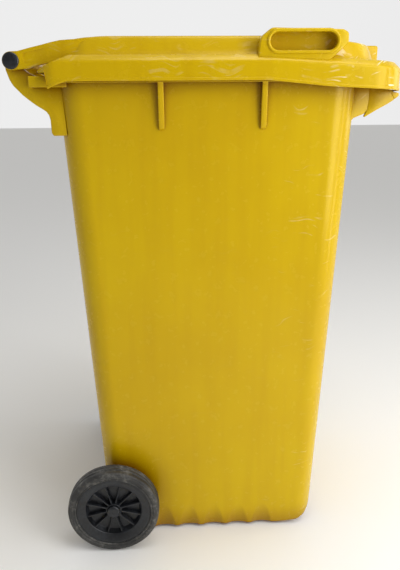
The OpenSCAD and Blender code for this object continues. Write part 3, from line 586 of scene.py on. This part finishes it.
def mouthRing(grow, z):
    lap = collarSet["lap"]  # the collar's inner wall stands this much inside the shell's
    radius = shellSet["cornerAtRim"] - wall - lap + grow
    plan = planLoop(shellSet["rearAtRim"] + wall + lap - grow, shellSet["frontAtRim"] - wall - lap + grow,
                    shellSet["halfAtRim"] - wall - lap + grow, radius, radius)
    return [(x, y, z) for x, y in plan]


collarLow = rimZ - collarSet["drop"]
collar = loftRings("rim_collar", [
    collarRing(0.5, collarLow), collarRing(0, collarLow + 0.8), collarRing(0, rimZ - 2.4),
    collarRing(0.3, rimZ - 1.2), collarRing(1.2, rimZ - 0.3), collarRing(2.6, rimZ),
    mouthRing(2.4, rimZ), mouthRing(1, rimZ - 0.4), mouthRing(0.2, rimZ - 1.2), mouthRing(0, rimZ - 2.5),
    mouthRing(0, rimZ - 6), mouthRing(4, rimZ - 4.2), collarRing(6, rimZ - 4.2), collarRing(4.4, rimZ - 5),
    collarRing(wall, rimZ - 7), collarRing(wall, collarLow + 0.8), collarRing(wall - 0.6, collarLow),
], closed=True)
finishPiece(collar, bodyHdpe, "frame")

# two gussets hold the collar up on each side
gussetSet = {"places": (-86, 102), "thick": 11, "height": 84, "rounding": 1.8}
gussetLow = collarLow - gussetSet["height"]
gussetFace = sideWall(gussetLow)
gussetOutline = [
    (gussetFace - 2, gussetLow), (gussetFace + 4, gussetLow + 3), (gussetFace + 7, gussetLow + 9),
    (collarSet["half"] - 5, rimZ - 20), (collarSet["half"] - 2, rimZ - 17),
    (collarSet["half"] - 2, rimZ - 2), (sideWall(rimZ) - 2, rimZ - 2)]
gussets = []
for side in (-1, 1):
    for x in gussetSet["places"]:
        gussets.append(crosswise("gusset", [(side * y, z) for y, z in gussetOutline],
                                 x - gussetSet["thick"] / 2, x + gussetSet["thick"] / 2,
                                 gussetSet["rounding"]))
finishPiece(joinPieces("side_gussets", gussets), bodyHdpe, "frame")

# a small box, closed only above, behind and outside, fills each rear corner under the collar
boxSet = {"rear": hinge.x + 29, "front": shellSet["rearAtRim"] + 26, "top": rimZ - 6, "height": 19,
          "inner": 232, "outer": collarSet["half"] - 13, "rounding": 1.2}


def boxPlate(name, rear, front, low, high, side, inner, outer):
    return upright(name, [(rear, low), (front, low), (front, high), (rear, high)],
                   *sorted((side * inner, side * outer)), 0)


boxes = []
boxLow = boxSet["top"] - boxSet["height"]
for side in (-1, 1):
    box = boxPlate("box", boxSet["rear"], boxSet["front"], boxLow, boxSet["top"],
                   side, boxSet["inner"], boxSet["outer"])
    cutAway(box, boxPlate("hollow", boxSet["rear"] + wall, boxSet["front"] + 5, boxLow - 5,
                          boxSet["top"] - wall, side, boxSet["inner"] - 5, boxSet["outer"] - wall))
    bevelEdges(box, boxSet["rounding"])
    boxes.append(box)
finishPiece(joinPieces("corner_boxes", boxes), bodyHdpe, "frame")

# the lifting comb: a lip across the front of the collar on eight ribs, four of them with gussets
combSet = {"width": 462, "ribs": 8, "thick": 5, "lipDrop": 43, "ribDrop": 81, "gussetDrop": 104,
           "withGusset": (0, 2, 5, 7), "gussetInset": 0.3, "lipInset": 0.6}
lipLow = rimZ - combSet["lipDrop"]
ribTip = rimZ - combSet["ribDrop"]
combTop = rimZ - 2
faceX = collarSet["front"]
lipBack = faceX - wall + 0.5
lipFace = faceX - combSet["lipInset"]  # a little behind the collar's face, so that the two don't coincide
combPieces = [upright("lip", [
    (lipBack, combTop - 1), (lipFace, combTop - 1), (lipFace, lipLow + 10), (faceX + 2, lipLow + 7.5),
    (frontX - 1.5, lipLow + 5.5), (frontX, lipLow + 4), (frontX, lipLow), (frontX - 7, lipLow - 6),
    (frontX - 10, lipLow - 4), (lipBack, lipLow + 6)], -combSet["width"] / 2, combSet["width"] / 2, 0.9)]
ribPitch = (combSet["width"] - combSet["thick"]) / (combSet["ribs"] - 1)
ribStarts = [i * ribPitch - combSet["width"] / 2 for i in range(combSet["ribs"])]
for start in ribStarts:
    combPieces.append(upright("rib", [
        (faceX - 2, combTop), (faceX - 2, lipLow + 6), (frontX - 8, lipLow - 7),
        (frontX - 22, lipLow - 15.5), (frontX - 40, lipLow - 25), (frontX - 63, ribTip - 0.5),
        (frontX - 65, ribTip + 1), (frontX - 60, ribTip + 12), (frontX - 58, ribTip + 30),
        (frontX - 58, combTop)], start, start + combSet["thick"], 1))
combLow = rimZ - combSet["gussetDrop"]
combWall = frontWall(combLow)
for i in combSet["withGusset"]:
    start = ribStarts[i] + combSet["gussetInset"]
    end = ribStarts[i] + combSet["thick"] - combSet["gussetInset"]
    combPieces.append(upright("gusset", [
        (combWall - 8, combLow), (combWall - 6, combLow), (combWall - 5.5, combLow + 9),
        (combWall - 3.5, combLow + 17), (combWall, combLow + 21), (frontX - 64, rimZ - 75),
        (frontX - 56, rimZ - 64), (frontX - 56, combTop), (shellSet["frontAtRim"] - 8, combTop)],
        start, end, 1))
finishPiece(joinPieces("lifting_comb", combPieces), bodyHdpe, "frame")

# the handle bar lies on the hinge line between two outer brackets, with two more inside
handleSet = {"radius": 15.5, "outer": 243, "thick": 11, "inner": 86, "depth": 110, "rounding": 1.8,
             "gripRings": 12, "gripPitch": 4.8, "outerReach": (6, 13), "innerReach": (2, 2)}
# the bracket's rear edge, from the bar down to the shell, as offsets from the hinge
bracketEdge = [(-15.3, -5), (-14.5, -15), (-9.5, -31), (-4, -41), (4, -49.5), (12, -58), (23, -67),
               (35, -76), (44, -81.5), (52, -87), (56, -93), (58, -101)]
bracketFoot = rimZ - handleSet["depth"]


def fromHinge(points):
    return [(hinge.x + x, hinge.z + z) for x, z in points]


def bracketOutline(reach):
    # reach carries the plate into the rounded rear corner of the shell
    foot = [(hinge.x + 58.5, bracketFoot + 5), (hinge.x + 62, bracketFoot),
            (rearWall(bracketFoot) + reach, bracketFoot), (shellSet["rearAtRim"] + reach, boxSet["top"]),
            (hinge.x + 40, boxSet["top"])]
    return fromHinge(bracketEdge) + foot + fromHinge([(26, -20), (12, -8), (0, 0)])


handlePieces = []
for side in (-1, 1):
    for y, (nearReach, farReach) in (
            (handleSet["outer"] - handleSet["thick"], handleSet["outerReach"]),
            (handleSet["inner"] - handleSet["thick"] / 2, handleSet["innerReach"])):
        plate = loftRings("bracket", [
            [(x, side * y, z) for x, z in bracketOutline(nearReach)],
            [(x, side * (y + handleSet["thick"]), z) for x, z in bracketOutline(farReach)]])
        bevelEdges(plate, handleSet["rounding"])
        handlePieces.append(plate)
bar = handleSet["radius"]
barEnd = handleSet["outer"]
barProfile = [(0, -barEnd), (bar - 2, -barEnd), (bar - 0.6, 0.6 - barEnd), (bar, 2 - barEnd)]
for i in range(-handleSet["gripRings"], handleSet["gripRings"] + 1):
    # shallow moulded rings give the hands a hold
    y = i * handleSet["gripPitch"]
    barProfile += [(bar, y - 1.7), (bar - 0.7, y - 1), (bar - 0.7, y + 1), (bar, y + 1.7)]
barProfile += [(bar, barEnd - 2), (bar - 0.6, barEnd - 0.6), (bar - 2, barEnd), (0, barEnd)]
handlePieces.append(lathe("bar", barProfile, hinge.x, hinge.z, steps=64))
finishPiece(joinPieces("push_handle", handlePieces), bodyHdpe, "frame")

# axle mounts: two ribs on each side under the arch, with a round boss where the axle passes
mountSet = {"bore": 10, "boss": 19, "face": 244.9, "rounding": 1.5}
outerFace = sideWall(wheelHub.z)
mountOutline = [(wheelHub.x + x, wheelHub.z + z) for x, z in (
    (-16, -16), (30, -40), (61, -62), (61, 6), (44, 42), (0, 61), (-10, 61), (-20, 20))]
mounts = []
for side in (-1, 1):
    for near, far, bossEnd in ((outerFace - 14, outerFace - 1, mountSet["face"]),
                               (handleSet["inner"] - 5, handleSet["inner"] + 5, handleSet["inner"] + 7)):
        mounts.append(upright("rib", mountOutline, *sorted((side * near, side * far)),
                              mountSet["rounding"]))
        mounts.append(lathe("boss", [
            (mountSet["bore"], near - 2), (mountSet["boss"], near - 2), (mountSet["boss"], bossEnd - 1.5),
            (mountSet["boss"] - 1.5, bossEnd), (mountSet["bore"], bossEnd)],
            wheelHub.x, wheelHub.z, side, 64))
finishPiece(joinPieces("axle_mounts", mounts), bodyHdpe, "frame")
print("body finished")

lidSet = {
    "rear": hinge.x + 44, "front": frontX - 3, "half": halfWidth, "frontRadius": 62, "rearRadius": 36,
    "ledge": 1038, "skirtTop": 1026,
    "bendX": 106, "frontSlope": math.tan(math.radians(3.4)), "softBend": 30,
    "rearBreak": hinge.x + 103, "rearSlope": math.tan(math.radians(24)),
    "crownTop": 1071.5, "crownBreak": hinge.x + 176, "crownSlope": math.tan(math.radians(4.2)),
    "crownRear": -265.3, "crownFront": 320.8, "crownHalf": 262.8, "crownRadius": 80.8,
    "crownRearRadius": 52, "crownLean": 9.8,
}
ledge = lidSet["ledge"]
skirtTop = lidSet["skirtTop"]


def lidPlan(inset):
    return planLoop(lidSet["rear"] + inset, lidSet["front"] - inset, lidSet["half"] - inset,
                    lidSet["frontRadius"] - inset, max(lidSet["rearRadius"] - inset, 3), corner=18)


def crownPlan(inset):
    return planLoop(lidSet["crownRear"] + inset, lidSet["crownFront"] - inset, lidSet["crownHalf"] - inset,
                    max(lidSet["crownRadius"] - inset, 14), max(lidSet["crownRearRadius"] - inset, 14),
                    corner=18)


def easedFall(distance):
    # how far along a slope, with the bend at its start spread over softBend
    soft = lidSet["softBend"]
    return distance * distance / (2 * soft) if distance < soft else distance - soft / 2


def ledgeLevel(x, z):
    z -= easedFall(max(0, x - lidSet["bendX"])) * lidSet["frontSlope"]
    return min(z, ledge - max(0, lidSet["rearBreak"] - x) * lidSet["rearSlope"])


def crownLevel(x):
    fall = max(0, lidSet["crownBreak"] - x, x - lidSet["bendX"])
    return lidSet["crownTop"] - easedFall(fall) * lidSet["crownSlope"]


def skirtEdge(x):
    rear = lidSet["rear"]
    knots = [(rear - 100, 1009), (rear + 19.5, 1009), (rear + 21, 981), (rear + 39, 989), (rear + 57, 994),
             (lidSet["bendX"], 994), (214, 983.2), (lidSet["front"], 975.3)]
    for (x0, z0), (x1, z1) in zip(knots, knots[1:]):
        if x <= x1:
            return z0 + (z1 - z0) * max(0, x - x0) / (x1 - x0)
    return knots[-1][1]


def lidRing(inset, height):
    return [(x, y, height(x)) for x, y in lidPlan(inset)]


def crownRing(inset, share, drop=0.0):
    # share runs from the ledge, 0, to the top of the crown, 1
    return [(x, y, ledgeLevel(x, ledge) * (1 - share) + crownLevel(x) * share - drop)
            for x, y in crownPlan(inset)]


def skirtLevel(x, share):
    return max(ledgeLevel(x, skirtTop - 3), skirtEdge(x) + 6) * share + (skirtEdge(x) + 5) * (1 - share)


# rings run from the middle of the crown out and down to the skirt's edge, then back up inside
lean = lidSet["crownLean"]
lidRings = [crownRing(inset, 1) for inset in (225, 180, 140, 100, 70, 45, 28, 19)]
lidRings += [crownRing(lean + inset, 1, drop)
             for inset, drop in ((6.5, 0.1), (3.6, 0.9), (1.4, 2.6), (0.2, 5.2))]
lidRings += [crownRing(inset, share) for inset, share in (
    (lean * 0.66, 0.62), (lean * 0.33, 0.3), (0.2, 0.12), (-1.4, 0.035), (-4.4, 0.0))]
for inset, z in ((15.4, ledge), (13.8, ledge), (12.2, ledge - 0.5), (10.4, ledge - 1.9), (6, ledge - 6),
                 (2.8, skirtTop + 2.6), (1.6, skirtTop + 0.6), (1.1, skirtTop - 2)):
    lidRings.append(lidRing(inset, lambda x: ledgeLevel(x, z)))
for share in (0.8, 0.6, 0.4, 0.25):
    lidRings.append(lidRing(1.1, lambda x: skirtLevel(x, share)))
for inset, rise in ((0.9, 5.2), (0.2, 4.2), (0, 2.6), (0.3, 1), (1.3, 0), (3.8, 0), (5, 1)):
    lidRings.append(lidRing(inset, lambda x: skirtEdge(x) + rise))
lidRings.append(lidRing(5, lambda x: max(ledgeLevel(x, skirtTop - wall) - 2, skirtEdge(x) + 2)))
lidRings.append(lidRing(7, lambda x: ledgeLevel(x, skirtTop) - 2.5))
lidRings.append(lidRing(15, lambda x: ledgeLevel(x, ledge) - wall))
for inset, share in ((0, 0.0), (4, 0.0), (lean + 3, 0.9), (lean + 10, 1), (60, 1), (120, 1), (180, 1)):
    lidRings.append(crownRing(inset + 1, share, wall))
finishPiece(loftRings("lid_shell", lidRings), lidHdpe, "lid", ("lid",), 30)

# rib under the ledge that rests on the rim
restSet = {"inset": 22, "thick": 3, "foot": rimZ + 0.4, "rootMin": rimZ + 1.5}
restRings = []
for inset, z in ((0, 0.4), (0.4, 0), (restSet["thick"] - 0.4, 0), (restSet["thick"], 0.4)):
    restRings.append([(x, y, restSet["foot"] + z) for x, y in lidPlan(restSet["inset"] + inset)])
for inset in (restSet["thick"], 0):
    restRings.append(lidRing(restSet["inset"] + inset,
                             lambda x: max(restSet["rootMin"], ledgeLevel(x, ledge) - 3)))
finishPiece(loftRings("rest_rib", restRings, closed=True), lidHdpe, "lid")

# hinge arms: a plate on each side with a shallow panel sunk in its face and an eye for the pin
armSet = {"outer": halfWidth - 31, "thick": 15, "turnIn": 7, "turnFrom": 100, "panelDepth": 1.8,
          "pinHole": 8.3, "eyeBore": 8.06, "eye": 15.5, "rounding": 0.9}
armTop = [(-2, 15.3), (13, 16), (35, 21.5), (53, 25.5), (71, 30), (88, 33.5), (106, 35.5), (141, 37.5)]
armUnderside = [(91, -3), (68, -4), (57, -5), (46, -7.5), (37, -10), (30, -12.8), (20, -13.4), (4, -14.9),
                (-4, 0)]
panelCorners = [(22, 12, 3), (53, 19, 8), (92, 27, 5), (94, 5, 5), (60, 2, 8), (24, -5, 4)]
armOutline = fromHinge(armTop) + [(hinge.x + 141, ledge - 2)] + fromHinge(armUnderside)
panelOutline = roundedOutline([(hinge.x + x, hinge.z + z, radius) for x, z, radius in panelCorners])
armPieces = []
for side in (-1, 1):
    inside = armSet["outer"] - armSet["thick"]
    outside = armSet["outer"]
    arm = upright("arm", armOutline, side * inside, side * outside, 0)
    # the front end turns in to meet the leaning crown
    for corner in arm.data.vertices:
        if corner.co.x > (hinge.x + armSet["turnFrom"]) * mm and abs(corner.co.y) > (outside - 1) * mm:
            corner.co.y -= side * armSet["turnIn"] * mm
    cutAway(arm, upright("panel", panelOutline, *sorted((
        side * outside - side * armSet["panelDepth"], side * outside + side * 5)), 0))
    bevelEdges(arm, armSet["rounding"], 3, 40)
    holeOutline = arcPoints(hinge.x, hinge.z, armSet["pinHole"], 0, 2 * math.pi, 40)[:-1]
    holeEnds = sorted((side * inside, side * outside))
    cutAway(arm, upright("hole", holeOutline, holeEnds[0] - 1, holeEnds[1] + 1, 0))
    bore, eye = armSet["eyeBore"], armSet["eye"]
    armPieces += [arm, lathe("eye", [
        (bore, inside), (eye - 1, inside), (eye, inside + 1), (eye, outside - 1), (eye - 1, outside),
        (bore, outside)], hinge.x, hinge.z, side, 64)]
finishPiece(joinPieces("lid_arms", armPieces), lidHdpe, "lid")

# grips: a hood with a sunk pocket and a round bead about its mouth, one on each side and one in front
gripSet = {"front": lidSet["front"] - 115, "length": 156, "height": 43, "inset": 6, "openLength": 122,
           "openHeight": 33, "bead": 3.2, "beadOut": 3, "pocket": 23, "inner": 250, "frontWidth": 236,
           "frontOpen": 190, "openFrom": 18, "openRise": 4, "rounding": 3.2, "frontRounding": 4}


def stadium(length, height, steps=14):
    radius = height / 2
    run = length / 2 - radius
    angles = [math.pi * (i / steps - 0.5) for i in range(steps + 1)]
    right = [(run + radius * math.cos(angle), radius * math.sin(angle)) for angle in angles]
    return right + [(-x, -z) for x, z in right]


def sweptBead(name, path, outward, radius, steps=12):
    # round bead along a closed flat path; outward is the direction that the opening faces
    rings = []
    angles = [2 * math.pi * k / steps for k in range(steps)]
    for i, point in enumerate(path):
        tangent = (path[(i + 1) % len(path)] - path[i - 1]).normalized()
        across = tangent.cross(outward).normalized()
        rings.append([tuple(point + across * radius * math.cos(angle) + outward * radius * math.sin(angle))
                      for angle in angles])
    return loftRings(name, rings, closed=True)


gripFront = gripSet["front"]
gripRear = gripFront - gripSet["length"]
gripTop = ledge + gripSet["height"]
openX = gripFront - gripSet["openFrom"] - gripSet["openLength"] / 2
openZ = ledge + gripSet["openRise"] + gripSet["openHeight"] / 2
beadHeight = gripSet["openHeight"] + gripSet["beadOut"]
sideFace = halfWidth - gripSet["inset"]
hoodOutline = roundedOutline([
    (gripRear - 4, ledge - 6, 0), (gripRear, ledge + 27, 14), (gripRear + 20, gripTop, 16),
    (gripFront - 10, gripTop - 3, 9), (gripFront, gripTop - 8, 6), (gripFront + 1, ledge + 18, 10),
    (gripFront - 32, skirtTop, 0)])
gripPieces = []
for side in (-1, 1):
    hood = upright("hood", hoodOutline, *sorted((side * gripSet["inner"], side * sideFace)), 0)
    bevelEdges(hood, gripSet["rounding"], 4, 40)
    opening = [(openX + x, openZ + z) for x, z in stadium(gripSet["openLength"], gripSet["openHeight"])]
    cutAway(hood, upright("pocket", opening, *sorted((
        side * (sideFace - gripSet["pocket"]), side * (sideFace + 8))), 0))
    beadPath = [Vector((openX + x, side * (sideFace - 0.6), openZ + z))
                for x, z in stadium(gripSet["openLength"] + gripSet["beadOut"], beadHeight)]
    gripPieces += [hood, sweptBead("bead", beadPath, Vector((0, side, 0)), gripSet["bead"])]
frontFace = lidSet["front"] - gripSet["inset"]
frontTop = gripTop - (frontFace - lidSet["bendX"]) * lidSet["frontSlope"]
frontMid = frontTop - gripSet["height"] + gripSet["openRise"] + gripSet["openHeight"] / 2
hood = upright("hood", roundedOutline([
    (frontFace - 47, skirtTop, 0), (frontFace - 47, frontTop, 4), (frontFace + 1, frontTop, 5),
    (frontFace + 1, frontTop - gripSet["height"] - 10, 0)]),
    -gripSet["frontWidth"] / 2, gripSet["frontWidth"] / 2, 0)
bevelEdges(hood, gripSet["frontRounding"], 4, 40)
opening = [(y, frontMid + z) for y, z in stadium(gripSet["frontOpen"], gripSet["openHeight"])]
cutAway(hood, crosswise("pocket", opening, frontFace - gripSet["pocket"], frontFace + 10, 0))
beadPath = [Vector((frontFace - 0.4, y, frontMid + z))
            for y, z in stadium(gripSet["frontOpen"] + gripSet["beadOut"], beadHeight)]
gripPieces += [hood, sweptBead("bead", beadPath, Vector((1, 0, 0)), gripSet["bead"])]
finishPiece(joinPieces("lid_grips", gripPieces), lidHdpe, "lid")
print("lid finished")

wheelSet = {
    "radius": 100, "inner": 247.92, "outer": 288.92, "seat": 78, "bevel": 1.2,
    "rimInner": 61, "dish": 56, "bore": 10.08, "boss": 17, "bossInner": 251.4, "bossSink": 14,
    "cap": 14, "capGap": 0.3, "spokes": 12, "firstSpoke": 15, "spokeRoot": 27,
    "pin": 8, "pinHead": 14.5, "headThick": 5,
}


def easeCorners(profile, steps=3):
    # rounds every corner of a turned profile a little
    soft = []
    count = len(profile)
    for i in range(count):
        before, here, after = (Vector(profile[k % count]) for k in (i - 1, i, i + 1))
        cut = min(wheelSet["bevel"], (before - here).length * 0.4, (after - here).length * 0.4)
        start = here + (before - here).normalized() * cut
        end = here + (after - here).normalized() * cut
        for k in range(steps + 1):
            share = k / steps
            point = start * (1 - share) ** 2 + here * 2 * share * (1 - share) + end * share * share
            soft.append((point.x, point.y))
    return soft


def spokeMesh(angle, side, outer):
    # flat blade that stands on the dish, a little thicker at both ends and at its root
    along = Vector((math.cos(angle), 0, math.sin(angle)))
    over = Vector((-math.sin(angle), 0, math.cos(angle)))
    centre = Vector((wheelHub.x, 0, wheelHub.z))
    stations = ((wheelSet["boss"] - 2, 1.7, outer - 11), (38, 1.3, outer - 12.5),
                (wheelSet["rimInner"] + 1, 1.8, outer - 12))
    rings = []
    for reach, thick, top in stations:
        middle = centre + along * reach
        levels = ((outer - wheelSet["spokeRoot"], thick + 0.4), (top - 1, thick), (top, thick - 0.7))
        near = [tuple(middle + over * half + Vector((0, side * y, 0))) for y, half in levels]
        far = [tuple(middle - over * half + Vector((0, side * y, 0))) for y, half in levels]
        rings.append(near + far[::-1])
    return loftRings("spoke", rings)


def boxEnds(node):
    # how near to the middle of the bin a node comes, and how far out it reaches
    return sorted(abs(corner.y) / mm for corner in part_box(node))


tread = wheelSet["radius"]
seat = wheelSet["seat"]
rimInner = wheelSet["rimInner"]
dish = wheelSet["dish"]
near = wheelSet["inner"]
far = wheelSet["outer"]
bossOut = far - wheelSet["bossSink"]
# profiles as (radius, distance from the middle of the bin): tread with two grooves, then the sidewall
tyreProfile = [
    (seat + 3, near + 3), (seat + 8, near + 0.5), (seat + 13, near), (tread - 3.5, near + 1.5),
    (tread - 0.8, near + 5), (tread - 0.3, near + 13), (tread - 2, near + 14.6), (tread - 2, near + 16.4),
    (tread, near + 17.4), (tread, far - 17.4), (tread - 2, far - 16.4), (tread - 2, far - 14.6),
    (tread - 0.3, far - 13), (tread - 0.8, far - 5.5), (tread - 3.4, far - 2), (tread - 5.5, far - 1.6),
    (tread - 6.3, far - 0.4), (seat + 11, far), (seat + 9.6, far - 0.4), (seat + 8.8, far - 1.8),
    (seat + 6.6, far - 2), (seat + 5.6, far - 0.9), (seat + 3.9, far - 1.2), (seat + 3, far - 3),
    (seat + 3, far - 6), (seat, far - 6), (seat, near + 6), (seat + 3, near + 6)]
barrelProfile = [
    (seat - 4, near + 3), (seat + 3, near + 3), (seat + 3, near + 6), (seat, near + 6), (seat, far - 6),
    (seat + 3, far - 6), (seat + 3, far - 3), (seat - 2, far - 3), (rimInner + 3, far - 8),
    (rimInner, far - 9.5), (rimInner - 1, far - 13), (dish, far - 22), (15, far - 22), (15, far - 26),
    (dish + 3, far - 26), (seat - 5, far - 11), (seat - 5, near + 5)]
capSeat = wheelSet["cap"] + wheelSet["capGap"]
bossProfile = [
    (wheelSet["bore"], wheelSet["bossInner"]), (wheelSet["boss"], wheelSet["bossInner"]),
    (wheelSet["boss"], bossOut + 6), (capSeat, bossOut + 6), (capSeat, bossOut), (wheelSet["bore"], bossOut)]

for sideName, side in (("right", -1), ("left", 1)):
    body = "wheel_" + sideName
    tyre = lathe("tyre_rubber_" + sideName, easeCorners(tyreProfile), wheelHub.x, wheelHub.z, side, 160)
    finishPiece(tyre, rubber, body, ("tyre_" + sideName,), 40)

    rimPieces = [lathe("barrel", easeCorners(barrelProfile), wheelHub.x, wheelHub.z, side, 144),
                 lathe("boss", easeCorners(bossProfile), wheelHub.x, wheelHub.z, side, 96)]
    for i in range(wheelSet["spokes"]):
        angle = math.radians(wheelSet["firstSpoke"] + i * 360 / wheelSet["spokes"])
        rimPieces.append(spokeMesh(angle, side, far))
    finishPiece(joinPieces("rim_" + sideName, rimPieces), polypropylene, body,
                ("wheel_rim_" + sideName,), 35)

    capOut = boxEnds("hub_cap_" + sideName)[1]
    cap = wheelSet["cap"]
    capProfile = [
        (12, bossOut), (cap, bossOut), (cap, capOut - 4.2), (cap - 0.9, capOut - 2.4),
        (cap - 2.6, capOut - 1.2), (9, capOut - 0.3), (5, capOut), (0.01, capOut), (0.01, capOut - 2),
        (11.5, capOut - 4)]
    axleCap = lathe("axle_cap_" + sideName, easeCorners(capProfile), wheelHub.x, wheelHub.z, side, 64)
    finishPiece(axleCap, nylon, body, ("hub_cap_" + sideName,), 50)

    shankY, headY = boxEnds("hinge_pin_" + sideName)
    pin = wheelSet["pin"]
    head = wheelSet["pinHead"]
    pinProfile = [
        (0.01, shankY), (pin - 2, shankY), (pin, shankY + 3), (pin, headY - wheelSet["headThick"]),
        (head - 0.7, headY - wheelSet["headThick"]), (head, headY - 4.3), (head, headY - 3.2)]
    domeAngles = [math.pi / 2 * i / 8 for i in range(1, 8)]
    pinProfile += [((head - 0.5) * math.cos(a), headY - 3 + 3 * math.sin(a)) for a in domeAngles]
    pinProfile.append((0.01, headY))
    pivotPin = lathe("pivot_pin_" + sideName, pinProfile, hinge.x, hinge.z, side, 72)
    finishPiece(pivotPin, nylon, "frame", ("hinge_pin_" + sideName,), 40)
print("wheels finished")

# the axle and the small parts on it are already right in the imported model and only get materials
axleParts = {"axle": drawnSteel}
for sideName in ("left", "right"):
    axleParts["spacer_" + sideName] = nylon
    for kind in ("inner_washer_", "outer_washer_", "push_nut_"):
        axleParts[kind + sideName] = zincSteel
for name, material in axleParts.items():
    part = frame["nodes"][name]
    part.data.materials.clear()
    part.data.materials.append(material)
print("axle parts finished")

studioSet = {"floorHalf": 30, "paper": "#F4F3F0", "air": "#FFFFFF", "behind": 0.24, "ahead": 0.86,
             "aim": (0.1, 0, 0.55)}  # metres, as are the lamps and the camera
floorHalf = studioSet["floorHalf"]
floorMesh = bpy.data.meshes.new("floor")
floorMesh.from_pydata([(-floorHalf, -floorHalf, 0), (floorHalf, -floorHalf, 0), (floorHalf, floorHalf, 0),
                       (-floorHalf, floorHalf, 0)], [], [(0, 1, 2, 3)])
floor = bpy.data.objects.new("studio_floor", floorMesh)
bpy.context.scene.collection.objects.link(floor)
paper = newMaterial("matt studio paper", Roughness=0.9, IOR=1.45,
                    Base_Color=linearColour(studioSet["paper"]))[0]
floorMesh.materials.append(paper)

world = bpy.data.worlds.new("studio")
world.use_nodes = True
background = world.node_tree.nodes["Background"]
background.inputs[0].default_value = linearColour(studioSet["air"])
# the room is brighter beyond the bin than on the near side
direction = addNode(world.node_tree, "TexCoord").outputs["Generated"]
facing = addNode(world.node_tree, "SeparateXYZ", {"Vector": direction})
brightness = addNode(world.node_tree, "MapRange", {
    "Value": facing.outputs["Y"], "From Min": -1.0, "From Max": 1.0,
    "To Min": studioSet["behind"], "To Max": studioSet["ahead"]})
world.node_tree.links.new(brightness.outputs[0], background.inputs[1])
bpy.context.scene.world = world

lampSet = {
    "key": {"place": (1.0, -1.2, 1.1), "wide": 0.7, "tall": 1.7, "watts": 15},
    "front fill": {"place": (3.0, 0.4, 1.4), "wide": 1.2, "tall": 1.8, "watts": 12},
    "edge strip": {"place": (1.5, -0.75, 0.95), "wide": 0.14, "tall": 1.7, "watts": 4},
    "top": {"place": (0.5, -0.6, 3.2), "wide": 1.4, "tall": 1.4, "watts": 22},
}
for name, lampSize in lampSet.items():
    lamp = bpy.data.lights.new(name, "AREA")
    lamp.shape = "RECTANGLE"
    lamp.size = lampSize["wide"]
    lamp.size_y = lampSize["tall"]
    lamp.energy = lampSize["watts"]
    holder = bpy.data.objects.new(name, lamp)
    holder.location = lampSize["place"]
    toBin = Vector(studioSet["aim"]) - Vector(lampSize["place"])
    holder.rotation_euler = toBin.to_track_quat("-Z", "Y").to_euler()
    holder.visible_camera = False
    bpy.context.scene.collection.objects.link(holder)

cameraSet = {"place": (-0.07225, -1.3692, 0.94856), "yaw": 0.0491, "pitchDown": 0.2962, "roll": -0.0081,
             "lens": 36.73, "sensor": 36}
yaw = cameraSet["yaw"]
pitchDown = cameraSet["pitchDown"]
roll = cameraSet["roll"]
ahead = Vector((math.sin(yaw) * math.cos(pitchDown), math.cos(yaw) * math.cos(pitchDown),
                -math.sin(pitchDown)))
level = Vector((math.cos(yaw), -math.sin(yaw), 0))
above = level.cross(ahead)
right = level * math.cos(roll) + above * math.sin(roll)
up = above * math.cos(roll) - level * math.sin(roll)
cameraData = bpy.data.cameras.new("camera")
cameraData.lens = cameraSet["lens"]
cameraData.sensor_width = cameraSet["sensor"]
camera = bpy.data.objects.new("camera", cameraData)
turned = Matrix((right, up, -ahead)).transposed().to_4x4()
camera.matrix_world = Matrix.Translation(cameraSet["place"]) @ turned
bpy.context.scene.collection.objects.link(camera)
bpy.context.scene.camera = camera
bpy.context.scene.view_settings.view_transform = "Standard"
print("studio ready")
